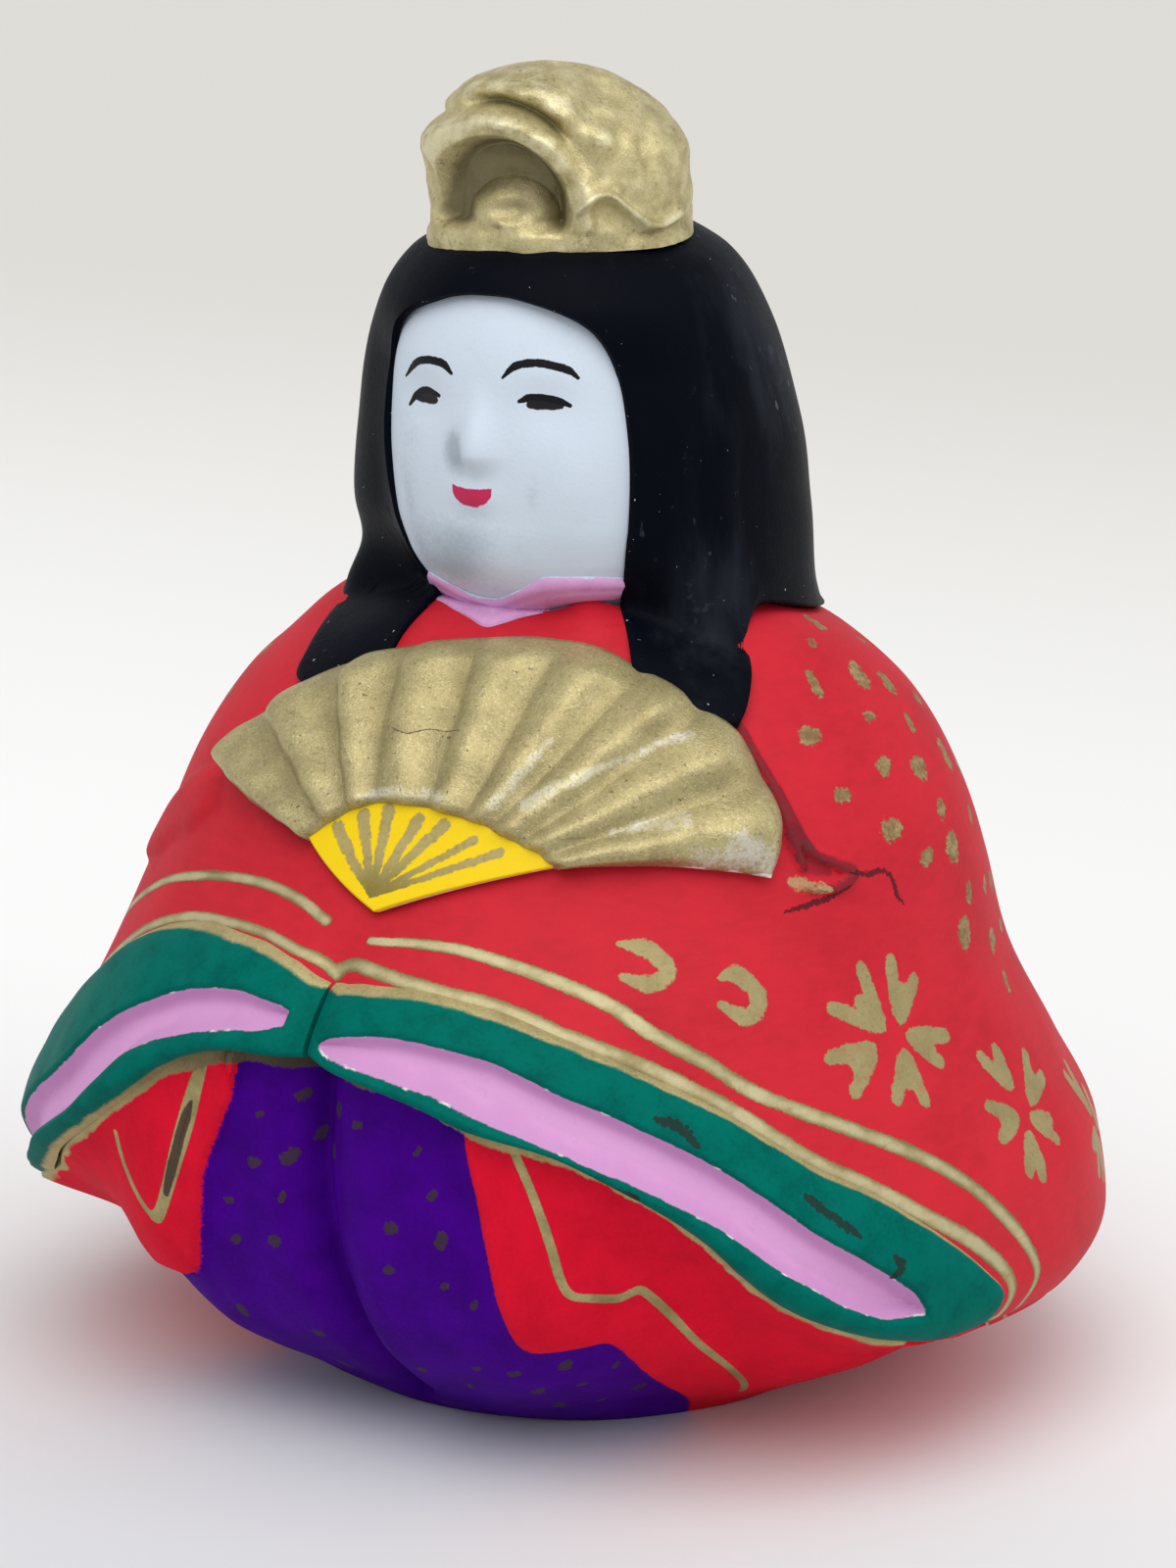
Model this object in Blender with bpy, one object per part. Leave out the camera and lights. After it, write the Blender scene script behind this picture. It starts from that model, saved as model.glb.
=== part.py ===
"""Seated hina doll, the empress of the pair: a hollow moulded clay figure put together from its pieces.

Metres, +Z up. The doll faces -Y, stands on Z = 0 and has its own left hand at +X.
Angles go round the doll in degrees from its front and grow towards its left.
A section is an outline of (radius, height) points in the upright plane at one angle.
"""

import math

import bmesh
import bpy
from mathutils import Vector

MM = 0.001

# Driving sizes of the whole figure
ROBE_HEIGHT = 54.5 * MM  # floor to the top of the robe, inside the collar
ROBE_RADIUS = 37.8 * MM  # half breadth across the sleeves
HEAD_HEIGHT = 25.7 * MM  # top of the robe to the top of the hair
HEAD_DEPTH = 13.9 * MM  # neck axis to the front of the face
CROWN_HEIGHT = 9.8 * MM  # top of the hair to the top of the crown
WALL = 4.0 * MM  # thickness of the pressed clay
JOINT = 0.3 * MM  # slip joint left between two pieces

# Outer robe: (share of ROBE_HEIGHT, share of ROBE_RADIUS), across the sleeves and at the front
SIDE_SHARES = (
    (0.0, 0.58), (0.046, 0.75), (0.13, 0.918), (0.226, 1.0), (0.316, 0.987), (0.417, 0.913),
    (0.543, 0.818), (0.657, 0.77), (0.765, 0.718), (0.862, 0.634), (0.938, 0.508),
    (0.982, 0.37), (1.0, 0.291),
)
FRONT_SHARES = (
    (0.0, 0.58), (0.046, 0.767), (0.11, 0.913), (0.22, 1.026), (0.294, 1.04), (0.367, 1.026), (0.44, 0.989),
    (0.514, 0.926), (0.606, 0.815), (0.679, 0.709), (0.752, 0.63), (0.826, 0.553), (0.899, 0.466),
    (0.967, 0.365), (1.0, 0.291),
)
BACK_DEPTH_SHARE = 0.905  # the back is flatter than the sides
SEAM_ANGLE = 90.0  # side seam between a sleeve and the back
LEAN_ANGLE = 120.0  # the figure leans away from this side of it
ROBE_LEAN = 0.45 * MM
CREASE_DEPTH = 1.2 * MM  # valley where the two sleeves meet
CREASE_ANGLE = 3.5
CREASE_LOW_SHARE, CREASE_HIGH_SHARE = 0.6, 0.68

# Sleeve hems: (angle, share of ROBE_HEIGHT) along the upper and the lower edge of the rolled hem
HEM_TOP_SHARES = (
    (0.0, 0.606), (9.0, 0.62), (19.0, 0.61), (28.0, 0.583), (40.0, 0.52), (51.0, 0.455), (59.0, 0.408),
    (66.0, 0.351), (73.0, 0.294), (79.0, 0.237), (81.3, 0.209),
)
HEM_LOW_SHARES = (
    (0.0, 0.53), (8.0, 0.517), (19.0, 0.473), (27.0, 0.437), (34.0, 0.389), (42.0, 0.33), (49.0, 0.274),
    (55.0, 0.233), (65.0, 0.191), (74.0, 0.178), (79.0, 0.186), (81.3, 0.209),
)
HEM_END = 81.3
HEM_WRAP = 4.0  # angle in which the robe's outline drops from the end of the hem to its lower rim
RIM_SHARE = 0.11  # of ROBE_HEIGHT, lower rim of the robe at the sides and the back
HEM_PROUD = 0.35 * MM  # the rolled hem stands out from the robe
CORNER_ANGLE = 0.2  # angle in which an outline steps from one height to another
HEM_ANGLES = (2.0, 4.0, 6.5, 9.0, 13.0, 17.0, 21.0, 26.0, 31.0, 36.0, 41.0)
HEM_SIDE_ANGLES = (51.0, 56.0, 61.0, 66.0, 70.0, 74.0, 77.0, 79.0, 80.4)
GROOVE_START, GROOVE_END = 2.0, 66.0
GROOVE_HIGH_SHARE, GROOVE_LOW_SHARE = 0.56, 0.19  # of the hem's width, from its lower edge
GROOVE_END_SHARE = 0.12  # of its opening that is left at its ends
GROOVE_DEPTH_SHARE = 0.45  # of WALL
LINING_SHARE = 0.5  # of the groove's depth that the lining fills

# Lower body, scaled at each angle to the height of the hem above it
FOOT_RADIUS = 17.5 * MM
FOOT_WALL = 3.0 * MM
BOWL_SHARES = (
    (0.0, 0.0), (0.05, 0.166), (0.17, 0.497), (0.28, 0.715), (0.42, 0.868), (0.6, 0.974), (0.77, 1.0),
    (1.0, 0.995),
)
BOWL_SIDE_SHARES = (
    (0.0, 0.0), (0.1, 0.1), (0.26, 0.29), (0.4, 0.46), (0.53, 0.6), (0.79, 0.79), (1.0, 1.0),
)
BOWL_FRONT_ANGLE, BOWL_SIDE_ANGLE = 18.0, 55.0
FRONT_OVERHANG = 1.4 * MM  # the hems reach this far beyond the lower body
SIDE_OVERHANG = 2.4 * MM  # and the robe this far at its sides and back
FOLD_SHARES = (
    (-50.0, 0.12), (-44.0, 0.25), (-36.0, 0.36), (-28.0, 0.38), (-22.0, 0.39), (-19.5, 0.44), (-17.0, 0.56),
    (-15.0, 0.734), (-11.2, 0.93), (-10.0, 1.0), (17.0, 1.0), (18.0, 0.843), (19.0, 0.62), (21.0, 0.42),
    (23.0, 0.353), (29.0, 0.37), (35.0, 0.388), (44.0, 0.255), (50.0, 0.12),
)  # angle and share of the hem's height at the front, along the zigzag edge of the under robe
FOLD_START, FOLD_END = -11.2, 18.0
FOLD_ANGLES = (18.4, 19.0, 20.0, 21.0, 23.0, 29.0, 35.0, 39.5, 44.0, 47.0)
FOLD_RIGHT_ANGLES = (-13.0, -15.0, -17.0, -19.5, -22.0, -28.0, -36.0, -40.0, -44.0, -47.0)
HAKAMA_MIDDLE_ANGLES = (-8.0, -5.5, -3.5, -2.3, -1.3, -0.3, 1.0, 3.0, 6.0, 9.0, 13.0, 17.0)
HAKAMA_ANGLE = 50.0
FOLD_HEIGHT = 0.9 * MM  # the under robe lies this much over the hakama
PLEAT_DEPTH = 1.1 * MM
PLEAT_ANGLE = -1.3
PLEAT_WIDTH = 2.2
VENT_RADIUS = 3.0 * MM
DISC_THICKNESS = 2.8 * MM
DISC_RECESS = 0.6 * MM
DISC_SIDES = 32

# Chest, collar and neck
CHEST_ANGLE = 46.0
CHEST_LOW_SHARE = 0.83
COLLAR_ANGLE = 38.5
COLLAR_LOW_SHARES = ((0.0, -0.035), (20.0, -0.012), (38.5, 0.02))  # angle, share of HEAD_HEIGHT
COLLAR_HIGH_SHARES = ((0.0, 0.032), (20.0, 0.055), (38.5, 0.1))
COLLAR_THICKNESS = 1.1 * MM
NECK_LENGTH = 7.0 * MM
HEAD_FRONT_ANGLES = (-13.0, -8.0, -4.0, 0.0, 4.0, 8.0, 13.0)
HEAD_SIDE_ANGLE = 25.0

# Face and hair: (share of HEAD_HEIGHT above the robe, share of HEAD_DEPTH)
FACE_SHARES = (
    (0.0, 0.79), (0.027, 0.813), (0.066, 0.885), (0.136, 0.942), (0.233, 0.986), (0.389, 1.0),
    (0.564, 0.971), (0.681, 0.928), (0.798, 0.827), (0.856, 0.712), (0.899, 0.504), (0.918, 0.252),
    (0.926, 0.05),
)
FACE_BREADTH_SHARE = 0.915
NOSE_SHARE, NOSE_LENGTH_SHARE = 0.42, 0.06
NOSE_PROUD = 1.1 * MM
NOSE_ANGLE = 6.0
HEAD_LEAN = 0.6 * MM
LEAN_START_SHARE, LEAN_FULL_SHARE, LEAN_END_SHARE = 0.3, 0.8, 0.9
HAIR_SHARES = (
    (-0.082, 1.186), (0.0, 1.16), (0.113, 1.144), (0.245, 1.122), (0.377, 1.1), (0.514, 1.065),
    (0.646, 1.007), (0.782, 0.913), (0.887, 0.77), (0.953, 0.555), (0.988, 0.33), (1.0, 0.05),
)
HAIR_EDGE = 1.2 * MM  # the hair stands this far out from the face
HAIR_EDGE_ANGLE, HAIR_FULL_ANGLE = 38.0, 70.0
HAIR_EDGE_SHARE, HAIR_FULL_SHARE = 0.6, 0.8
HAIR_LOW_SHARES = (
    (0.0, 0.822), (15.0, 0.817), (25.0, 0.787), (32.0, 0.75), (37.0, 0.695), (40.2, 0.6), (41.0, 0.5),
    (41.6, 0.0), (42.0, -0.07), (46.0, -0.13), (51.0, -0.17), (57.0, -0.225), (63.0, -0.17), (69.0, -0.11),
    (75.0, -0.075), (120.0, -0.07), (148.0, -0.08), (153.0, -0.2), (158.0, -0.4), (163.0, -0.62),
    (168.0, -0.83), (173.0, -1.02), (178.0, -1.17), (180.0, -1.19),
)  # angle and share of HEAD_HEIGHT above the robe, along the lower outline of the hair
HAIR_ANGLES = (
    0.0, 10.0, 20.0, 27.0, 32.0, 36.0, 39.0, 40.2, 41.0, 41.4, 42.0, 45.0, 49.0, 53.0, 57.0, 61.0, 65.0,
    70.0, 78.0, 90.0, 102.0, 115.0, 127.0, 140.0, 148.0, 152.0, 156.0, 161.0, 166.0, 171.0, 176.0,
)
HAIR_SIDE_SHARE = 0.06  # share of HEAD_HEIGHT above which the outline of the hair is even
LOCK_PROUD = 1.6 * MM  # locks and tress stand this far out from the robe
HAIR_CLEARANCE = 0.6 * MM

# Crown
CROWN_BREADTH = 9.7 * MM
CROWN_DEPTH = 6.6 * MM
CROWN_FORWARD = 3.4 * MM
CROWN_RIGHT = 0.35 * MM
CROWN_LEAN = -0.45 * MM
CROWN_SHARES = (
    (0.0, 1.0), (0.1, 1.02), (0.18, 0.95), (0.32, 0.98), (0.5, 0.98), (0.62, 0.93), (0.74, 0.84),
    (0.84, 0.7), (0.92, 0.52), (0.975, 0.28), (1.0, 0.1),
)
CROWN_ROWS = (0.985, 0.94, 0.86, 0.76, 0.66, 0.55, 0.44, 0.34, 0.26, 0.18, 0.1, 0.04)  # from its top down
SEAT_ROWS = (0.0, 0.4, 0.65, 0.8, 0.9, 1.0)  # from its middle out
SEAT_CLEARANCE = 0.6 * MM
CREST_PROUD = 1.2 * MM
CREST_RADIUS = 4.2 * MM
CREST_WIDTH = 1.3 * MM
CREST_SHARE = 0.2

# Fan, spread on the chest: angle at its pivot and share of ROBE_HEIGHT from the pivot to its outer edge
FAN_SHARES = (
    (-62.0, 0.389), (-52.0, 0.396), (-39.0, 0.394), (-17.5, 0.391), (0.0, 0.398), (13.0, 0.418),
    (27.0, 0.429), (44.0, 0.451), (58.0, 0.472), (71.0, 0.481), (80.0, 0.484),
)
FAN_START, FAN_END = -62.0, 80.0
FAN_PIVOT_ANGLE = 1.0
FAN_PIVOT_SHARE = 0.685  # of ROBE_HEIGHT
FAN_RISE = 0.72  # height gained for each unit up the slope of the chest
FAN_PANELS = 9
FAN_THICKNESS = 1.3 * MM
FAN_PLEAT = 0.75 * MM
PLEAT_SHARES = (0.0, 0.7, 1.0, 0.7)  # of FAN_PLEAT, across one panel from valley to valley
FAN_CLEARANCE = 0.5 * MM
FAN_EDGE_SHARE = 0.02
FAN_BESIDE_ANGLE = 2.0  # the hair keeps clear of the fan this far to its side
RIBS_SHARE = 0.42  # of the fan's radius that shows its bare ribs
RIBS_START_SHARE = 0.08
RIBS_THICKNESS = 1.0 * MM

MESH_MERGE = 0.01 * MM
PIGMENT = {
    "red": ((0.62, 0.02, 0.03), 0.62, 0.0),
    "green": ((0.0, 0.14, 0.09), 0.5, 0.0),
    "pink": ((0.72, 0.42, 0.68), 0.55, 0.0),
    "purple": ((0.07, 0.0, 0.2), 0.6, 0.0),
    "white": ((0.72, 0.76, 0.82), 0.45, 0.0),
    "black": ((0.008, 0.008, 0.012), 0.5, 0.0),
    "gold": ((0.42, 0.31, 0.12), 0.42, 0.7),
    "yellow": ((0.85, 0.6, 0.0), 0.5, 0.0),
    "bare_clay": ((0.62, 0.42, 0.3), 0.85, 0.0),
}


def smooth_step(low, high, value):
    t = min(1.0, max(0.0, (value - low) / (high - low)))
    return t * t * (3 - 2 * t)


def curve_through(points):
    """A function that passes smoothly through the points and never swings past them."""
    xs = [p[0] for p in points]
    ys = [p[1] for p in points]
    slopes = [(ys[i + 1] - ys[i]) / (xs[i + 1] - xs[i]) for i in range(len(xs) - 1)]
    tangents = [slopes[0]]
    for before, after in zip(slopes, slopes[1:]):
        tangents.append(2 * before * after / (before + after) if before * after > 0 else 0.0)
    tangents.append(slopes[-1])

    def at(x):
        x = min(xs[-1], max(xs[0], x))
        i = next((k for k in range(len(xs) - 1) if x <= xs[k + 1]), len(xs) - 2)
        span = xs[i + 1] - xs[i]
        t = (x - xs[i]) / span
        start, end = (1 + 2 * t) * (1 - t) ** 2, t * t * (3 - 2 * t)
        lead, trail = t * (1 - t) ** 2, t * t * (t - 1)
        return start * ys[i] + end * ys[i + 1] + span * (lead * tangents[i] + trail * tangents[i + 1])

    return at


side_share = curve_through(SIDE_SHARES)
front_share = curve_through(FRONT_SHARES)
bowl_share = curve_through(BOWL_SHARES)
bowl_side_share = curve_through(BOWL_SIDE_SHARES)
face_share = curve_through(FACE_SHARES)
hair_share = curve_through(HAIR_SHARES)
hair_low_share = curve_through(HAIR_LOW_SHARES)
hem_top_share = curve_through(HEM_TOP_SHARES)
hem_low_share = curve_through(HEM_LOW_SHARES)
fold_share = curve_through(FOLD_SHARES)
collar_low_share = curve_through(COLLAR_LOW_SHARES)
collar_high_share = curve_through(COLLAR_HIGH_SHARES)
crown_share = curve_through(CROWN_SHARES)
fan_share = curve_through(FAN_SHARES)


def steps(start, end, count):
    return [start + (end - start) * k / count for k in range(count + 1)]


def ellipse_radius(angle, across, along):
    sine, cosine = math.sin(math.radians(angle)), math.cos(math.radians(angle))
    return 1 / math.sqrt((sine / across) ** 2 + (cosine / along) ** 2)


def lean(angle, distance):
    """Lean of the figure to its right, as a change of radius."""
    return -distance * math.cos(math.radians(angle - LEAN_ANGLE))


def robe_radius(angle, height):
    share = height / ROBE_HEIGHT
    across = ROBE_RADIUS * side_share(share)
    in_front = math.cos(math.radians(angle)) > 0
    along = ROBE_RADIUS * front_share(share) if in_front else across * BACK_DEPTH_SHARE
    crease = CREASE_DEPTH * math.exp(-((angle / CREASE_ANGLE) ** 2))
    crease *= 1 - smooth_step(CREASE_LOW_SHARE, CREASE_HIGH_SHARE, share)
    leaning = lean(angle, ROBE_LEAN * (1 - smooth_step(LEAN_END_SHARE, 1, share)))
    return ellipse_radius(angle, across, along) - crease + leaning


def hem_top(angle):
    return ROBE_HEIGHT * hem_top_share(abs(angle))


def hem_low(angle):
    return ROBE_HEIGHT * hem_low_share(abs(angle))


def outline_height(edge, angle):
    """Follow an edge of the hem to its end and then drop to the rim round the back."""
    rim = RIM_SHARE * ROBE_HEIGHT
    return edge(angle) + (rim - edge(angle)) * smooth_step(HEM_END, HEM_END + HEM_WRAP, abs(angle))


def robe_low(angle):
    return outline_height(hem_top, angle)


def bowl_top(angle):
    return outline_height(hem_low, angle)


def half_joint(edge, angle):
    """Half a joint measured upright, so that it keeps its width where the edge slopes."""
    run = 2 * math.radians(CORNER_ANGLE) * ROBE_RADIUS
    slope = (edge(angle + CORNER_ANGLE) - edge(angle - CORNER_ANGLE)) / run
    return JOINT / 2 * math.hypot(1, slope)


def bowl_radius(angle, height):
    top = bowl_top(angle)
    beside = smooth_step(BOWL_FRONT_ANGLE, BOWL_SIDE_ANGLE, abs(angle))
    rim = robe_radius(angle, top) - FRONT_OVERHANG - (SIDE_OVERHANG - FRONT_OVERHANG) * beside
    share = bowl_share(height / top) * (1 - beside) + bowl_side_share(height / top) * beside
    return FOOT_RADIUS + (rim - FOOT_RADIUS) * share


def bowl_inner_radius(angle, height):
    slope = (bowl_radius(angle, bowl_top(angle)) - FOOT_RADIUS) / bowl_top(angle)
    wall = WALL * math.hypot(1, slope) + FOLD_HEIGHT
    return max(FOOT_RADIUS - FOOT_WALL, bowl_radius(angle, height) - wall)


def fold_edge(angle):
    return hem_low(0.0) * fold_share(angle)


def head_lean(angle, share):
    leaning = smooth_step(LEAN_START_SHARE, LEAN_FULL_SHARE, share)
    leaning *= 1 - smooth_step(LEAN_END_SHARE, 1, share)
    return lean(angle, HEAD_LEAN * leaning)


def face_radius(angle, height):
    share = (height - ROBE_HEIGHT) / HEAD_HEIGHT
    depth = HEAD_DEPTH * face_share(share)
    return ellipse_radius(angle, depth * FACE_BREADTH_SHARE, depth) + head_lean(angle, share)


def nose_proud(angle, height):
    rise = ((height - ROBE_HEIGHT) / HEAD_HEIGHT - NOSE_SHARE) / NOSE_LENGTH_SHARE
    return NOSE_PROUD * math.exp(-((angle / NOSE_ANGLE) ** 2) - rise**2)


def hair_radius(angle, height):
    share = (height - ROBE_HEIGHT) / HEAD_HEIGHT
    full = HEAD_DEPTH * hair_share(share) + head_lean(angle, share)
    beside_face = 1 - smooth_step(HAIR_EDGE_ANGLE, HAIR_FULL_ANGLE, abs(angle))
    beside_face *= 1 - smooth_step(HAIR_EDGE_SHARE, HAIR_FULL_SHARE, share)
    head = full - beside_face * max(0.0, full - face_radius(angle, height) - HAIR_EDGE)
    return head if share > 0 else max(head, robe_radius(angle, height) + LOCK_PROUD)


def place(angle, radius, height):
    turn = math.radians(angle)
    return Vector((radius * math.sin(turn), -radius * math.cos(turn), height))


def shifted(angle, distance):
    """Vector of a distance square to the upright plane at this angle."""
    turn = math.radians(angle)
    return Vector((distance * math.cos(turn), distance * math.sin(turn), 0))


def material_named(pigment):
    colour, roughness, metallic = PIGMENT[pigment]
    material = bpy.data.materials.get(pigment) or bpy.data.materials.new(pigment)
    material.use_nodes = True
    shader = material.node_tree.nodes["Principled BSDF"]
    shader.inputs["Base Color"].default_value = (*colour, 1)
    shader.inputs["Roughness"].default_value = roughness
    shader.inputs["Metallic"].default_value = metallic
    return material


def finish_piece(name, builder, pigment):
    bmesh.ops.remove_doubles(builder, verts=builder.verts, dist=MESH_MERGE)
    bmesh.ops.recalc_face_normals(builder, faces=builder.faces)
    mesh = bpy.data.meshes.new(name)
    builder.to_mesh(mesh)
    builder.free()
    mesh.shade_smooth()
    mesh.set_sharp_from_angle(angle=math.radians(40))
    mesh.materials.append(material_named(pigment))
    piece = bpy.data.objects.new(name, mesh)
    bpy.context.scene.collection.objects.link(piece)


def loft_bar(name, loops, pigment):
    """A solid through closed loops of as many points each, with its first and last loop filled."""
    builder = bmesh.new()
    rings = [[builder.verts.new(point) for point in loop] for loop in loops]
    for ring, following in zip(rings, rings[1:]):
        for i in range(len(ring)):
            j = (i + 1) % len(ring)
            builder.faces.new((ring[i], ring[j], following[j], following[i]))
    builder.faces.new(rings[0])
    builder.faces.new(reversed(rings[-1]))
    finish_piece(name, builder, pigment)


def loft_round(name, chains, pigment):
    """A solid round an axis, through chains of points that start and end on that axis."""
    builder = bmesh.new()
    rings = [[builder.verts.new(point) for point in chain] for chain in chains]
    for ring, following in zip(rings, rings[1:] + rings[:1]):
        for i in range(len(ring) - 1):
            builder.faces.new((ring[i], ring[i + 1], following[i + 1], following[i]))
    finish_piece(name, builder, pigment)


def loft_stations(name, stations, side, section, pigment):
    """A bar through sections at stations of (angle, shift of the section's plane)."""
    loops = []
    for angle, shift in stations:
        move = shifted(side * angle, side * shift)
        loops.append([place(side * angle, *point) + move for point in section(side * angle)])
    loft_bar(name, loops, pigment)


def robe_section(angle, low, high, rows):
    heights = steps(low, high, rows)
    outer = [(robe_radius(angle, height), height) for height in heights]
    inner = [(robe_radius(angle, height) - WALL, height) for height in heights]
    return outer + inner[::-1]


def hem_end_stations():
    return [(angle, 0.0) for angle in HEM_SIDE_ANGLES] + [(HEM_END, 0.0)]


def build_sleeve(name, side):
    """Outer robe over one arm, from the crease in front to the seam at the side."""
    chest_low = ROBE_HEIGHT * CHEST_LOW_SHARE - JOINT / 2

    def section(angle):
        low = robe_low(angle) + half_joint(robe_low, angle)
        return robe_section(angle, low, chest_low if abs(angle) < CHEST_ANGLE else ROBE_HEIGHT, 9)

    stations = [(0.0, JOINT / 2)] + [(angle, 0.0) for angle in HEM_ANGLES]
    stations += [(CHEST_ANGLE - CORNER_ANGLE, JOINT / 2), (CHEST_ANGLE, JOINT / 2)] + hem_end_stations()
    stations += [(angle, 0.0) for angle in steps(HEM_END + HEM_WRAP / 4, HEM_END + HEM_WRAP, 3)]
    loft_stations(name, stations + [(SEAM_ANGLE, -JOINT / 2)], side, section, "red")


def build_robe_back():
    def section(angle):
        return robe_section(angle, robe_low(angle) + JOINT / 2, ROBE_HEIGHT, 10)

    between = [(angle, 0.0) for angle in steps(SEAM_ANGLE, 360 - SEAM_ANGLE, 20)[1:-1]]
    stations = [(SEAM_ANGLE, JOINT / 2)] + between + [(360 - SEAM_ANGLE, -JOINT / 2)]
    loft_stations("robe_back", stations, 1, section, "red")


def build_chest():
    """Front of the robe between the side locks, from under the fan up to the collar."""

    def section(angle):
        return robe_section(angle, ROBE_HEIGHT * CHEST_LOW_SHARE + JOINT / 2, ROBE_HEIGHT, 6)

    between = [(angle, 0.0) for angle in steps(-CHEST_ANGLE, CHEST_ANGLE, 12)[1:-1]]
    stations = [(-CHEST_ANGLE, JOINT)] + between + [(CHEST_ANGLE, -JOINT)]
    loft_stations("robe_chest", stations, 1, section, "red")


def groove_heights(angle):
    """Lower and upper edge of the lined groove in the hem, narrowing to both ends."""
    low, high = hem_low(angle), hem_top(angle)
    along = min(1.0, max(0.0, (abs(angle) - GROOVE_START) / (GROOVE_END - GROOVE_START)))
    opening = GROOVE_END_SHARE + (1 - GROOVE_END_SHARE) * max(0.0, math.sin(math.pi * along)) ** 0.5
    half = (GROOVE_HIGH_SHARE - GROOVE_LOW_SHARE) / 2 * (high - low) * opening
    centre = low + (GROOVE_HIGH_SHARE + GROOVE_LOW_SHARE) / 2 * (high - low)
    return centre - half, centre + half


def build_hem(name, side):
    """Rolled hem of one sleeve, with the groove that its lining lies in."""

    def section(angle):
        low = hem_low(angle) + half_joint(hem_low, angle)
        high = hem_top(angle) - half_joint(hem_top, angle)
        if high - low < 3 * JOINT:
            low, high = (low + high) / 2 - JOINT * 1.5, (low + high) / 2 + JOINT * 1.5
        groove_low, groove_high = groove_heights(angle)
        if groove_low < low:
            groove_low, groove_high = low + (high - low) / 3, high - (high - low) / 3
        depth = WALL * GROOVE_DEPTH_SHARE if GROOVE_START < abs(angle) < GROOVE_END else -HEM_PROUD
        slant = (groove_high - groove_low) / 6
        roll = (groove_low - low) / 2
        rows = [
            (low, -HEM_PROUD), (low + roll, HEM_PROUD), (groove_low, HEM_PROUD),
            (groove_low + slant, -depth), (groove_high - slant, -depth),
            (groove_high, HEM_PROUD), (high - roll, HEM_PROUD), (high, -HEM_PROUD),
        ]
        outer = [(robe_radius(angle, height) + proud, height) for height, proud in rows]
        inner = [(robe_radius(angle, height) - WALL, height) for height in steps(high, low, 3)]
        return outer + inner

    stations = [(0.0, JOINT / 2)] + [(angle, 0.0) for angle in HEM_ANGLES + (46.0,) + HEM_SIDE_ANGLES]
    loft_stations(name, stations, side, section, "green")


def build_lining(name, side):
    """Lining strip laid in the groove of the hem."""

    def section(angle):
        low, high = groove_heights(angle)
        slant = (high - low) / 6
        bottom = JOINT - WALL * GROOVE_DEPTH_SHARE
        top = bottom + WALL * GROOVE_DEPTH_SHARE * LINING_SHARE
        rows = [
            (low + 2 * slant, bottom), (low + 1.5 * slant, top),
            (high - 1.5 * slant, top), (high - 2 * slant, bottom),
        ]
        return [(robe_radius(angle, height) + proud, height) for height, proud in rows]

    angles = HEM_ANGLES[2:] + (46.0,) + HEM_SIDE_ANGLES[:3]
    loft_stations(name, [(angle, 0.0) for angle in angles], side, section, "pink")


def body_section(angle, low, high, sunk):
    """Wall of the lower body between two heights, its outer face sunk from the bowl's outline."""
    heights = steps(low, high, 7)
    outer = [(bowl_radius(angle, height) - sunk(angle, height), height) for height in heights]
    inner = [(bowl_inner_radius(angle, height), height) for height in heights]
    return outer + inner[::-1]


def build_under_robe():
    """Under robe from one side of the hakama round the back to the other, standing on the foot."""

    def section(angle):
        turned = angle - 360 if angle > 180 else angle
        low = fold_edge(turned) + half_joint(fold_edge, turned) if abs(turned) <= HAKAMA_ANGLE else 0.0
        high = bowl_top(turned) - half_joint(bowl_top, turned)
        return body_section(turned, low, high, lambda angle, height: 0.0)

    side = list(HEM_SIDE_ANGLES) + [HEM_END] + steps(HEM_END + HEM_WRAP / 4, HEM_END + HEM_WRAP, 3)
    beside = HAKAMA_ANGLE + CORNER_ANGLE
    left = [FOLD_END] + list(FOLD_ANGLES) + [HAKAMA_ANGLE, beside] + side
    right = [FOLD_START] + list(FOLD_RIGHT_ANGLES) + [-HAKAMA_ANGLE, -beside] + [-angle for angle in side]
    angles = left + steps(SEAM_ANGLE, 360 - SEAM_ANGLE, 16) + [360 + angle for angle in right[::-1]]
    loft_stations("under_robe", [(angle, 0.0) for angle in angles], 1, section, "red")


def build_hakama():
    """Pleated trousers that show between the two folds of the under robe."""

    def sunk(angle, height):
        pleat = PLEAT_DEPTH * math.exp(-(((angle - PLEAT_ANGLE) / PLEAT_WIDTH) ** 2))
        return (FOLD_HEIGHT + pleat) * smooth_step(0, FOOT_WALL, height)

    def section(angle):
        under_hem = bowl_top(angle) - half_joint(bowl_top, angle)
        under_fold = fold_edge(angle) - half_joint(fold_edge, angle)
        return body_section(angle, 0.0, min(under_hem, under_fold), sunk)

    angles = FOLD_RIGHT_ANGLES[::-1] + (FOLD_START,) + HAKAMA_MIDDLE_ANGLES + (FOLD_END,) + FOLD_ANGLES
    stations = [(-HAKAMA_ANGLE, JOINT)] + [(angle, 0.0) for angle in angles]
    loft_stations("hakama", stations + [(HAKAMA_ANGLE, -JOINT)], 1, section, "purple")


def build_base_disc():
    """Disc with a vent hole that closes the foot."""
    radius = FOOT_RADIUS - FOOT_WALL - JOINT
    low, high = DISC_RECESS, DISC_RECESS + DISC_THICKNESS
    corners = ((VENT_RADIUS, low), (radius, low), (radius, high), (VENT_RADIUS, high))
    builder = bmesh.new()
    rings = []
    for angle in steps(0, 360, DISC_SIDES)[:-1]:
        rings.append([builder.verts.new(place(angle, *corner)) for corner in corners])
    for ring, following in zip(rings, rings[1:] + rings[:1]):
        for i in range(4):
            j = (i + 1) % 4
            builder.faces.new((ring[i], ring[j], following[j], following[i]))
    finish_piece("base_disc", builder, "bare_clay")


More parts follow.
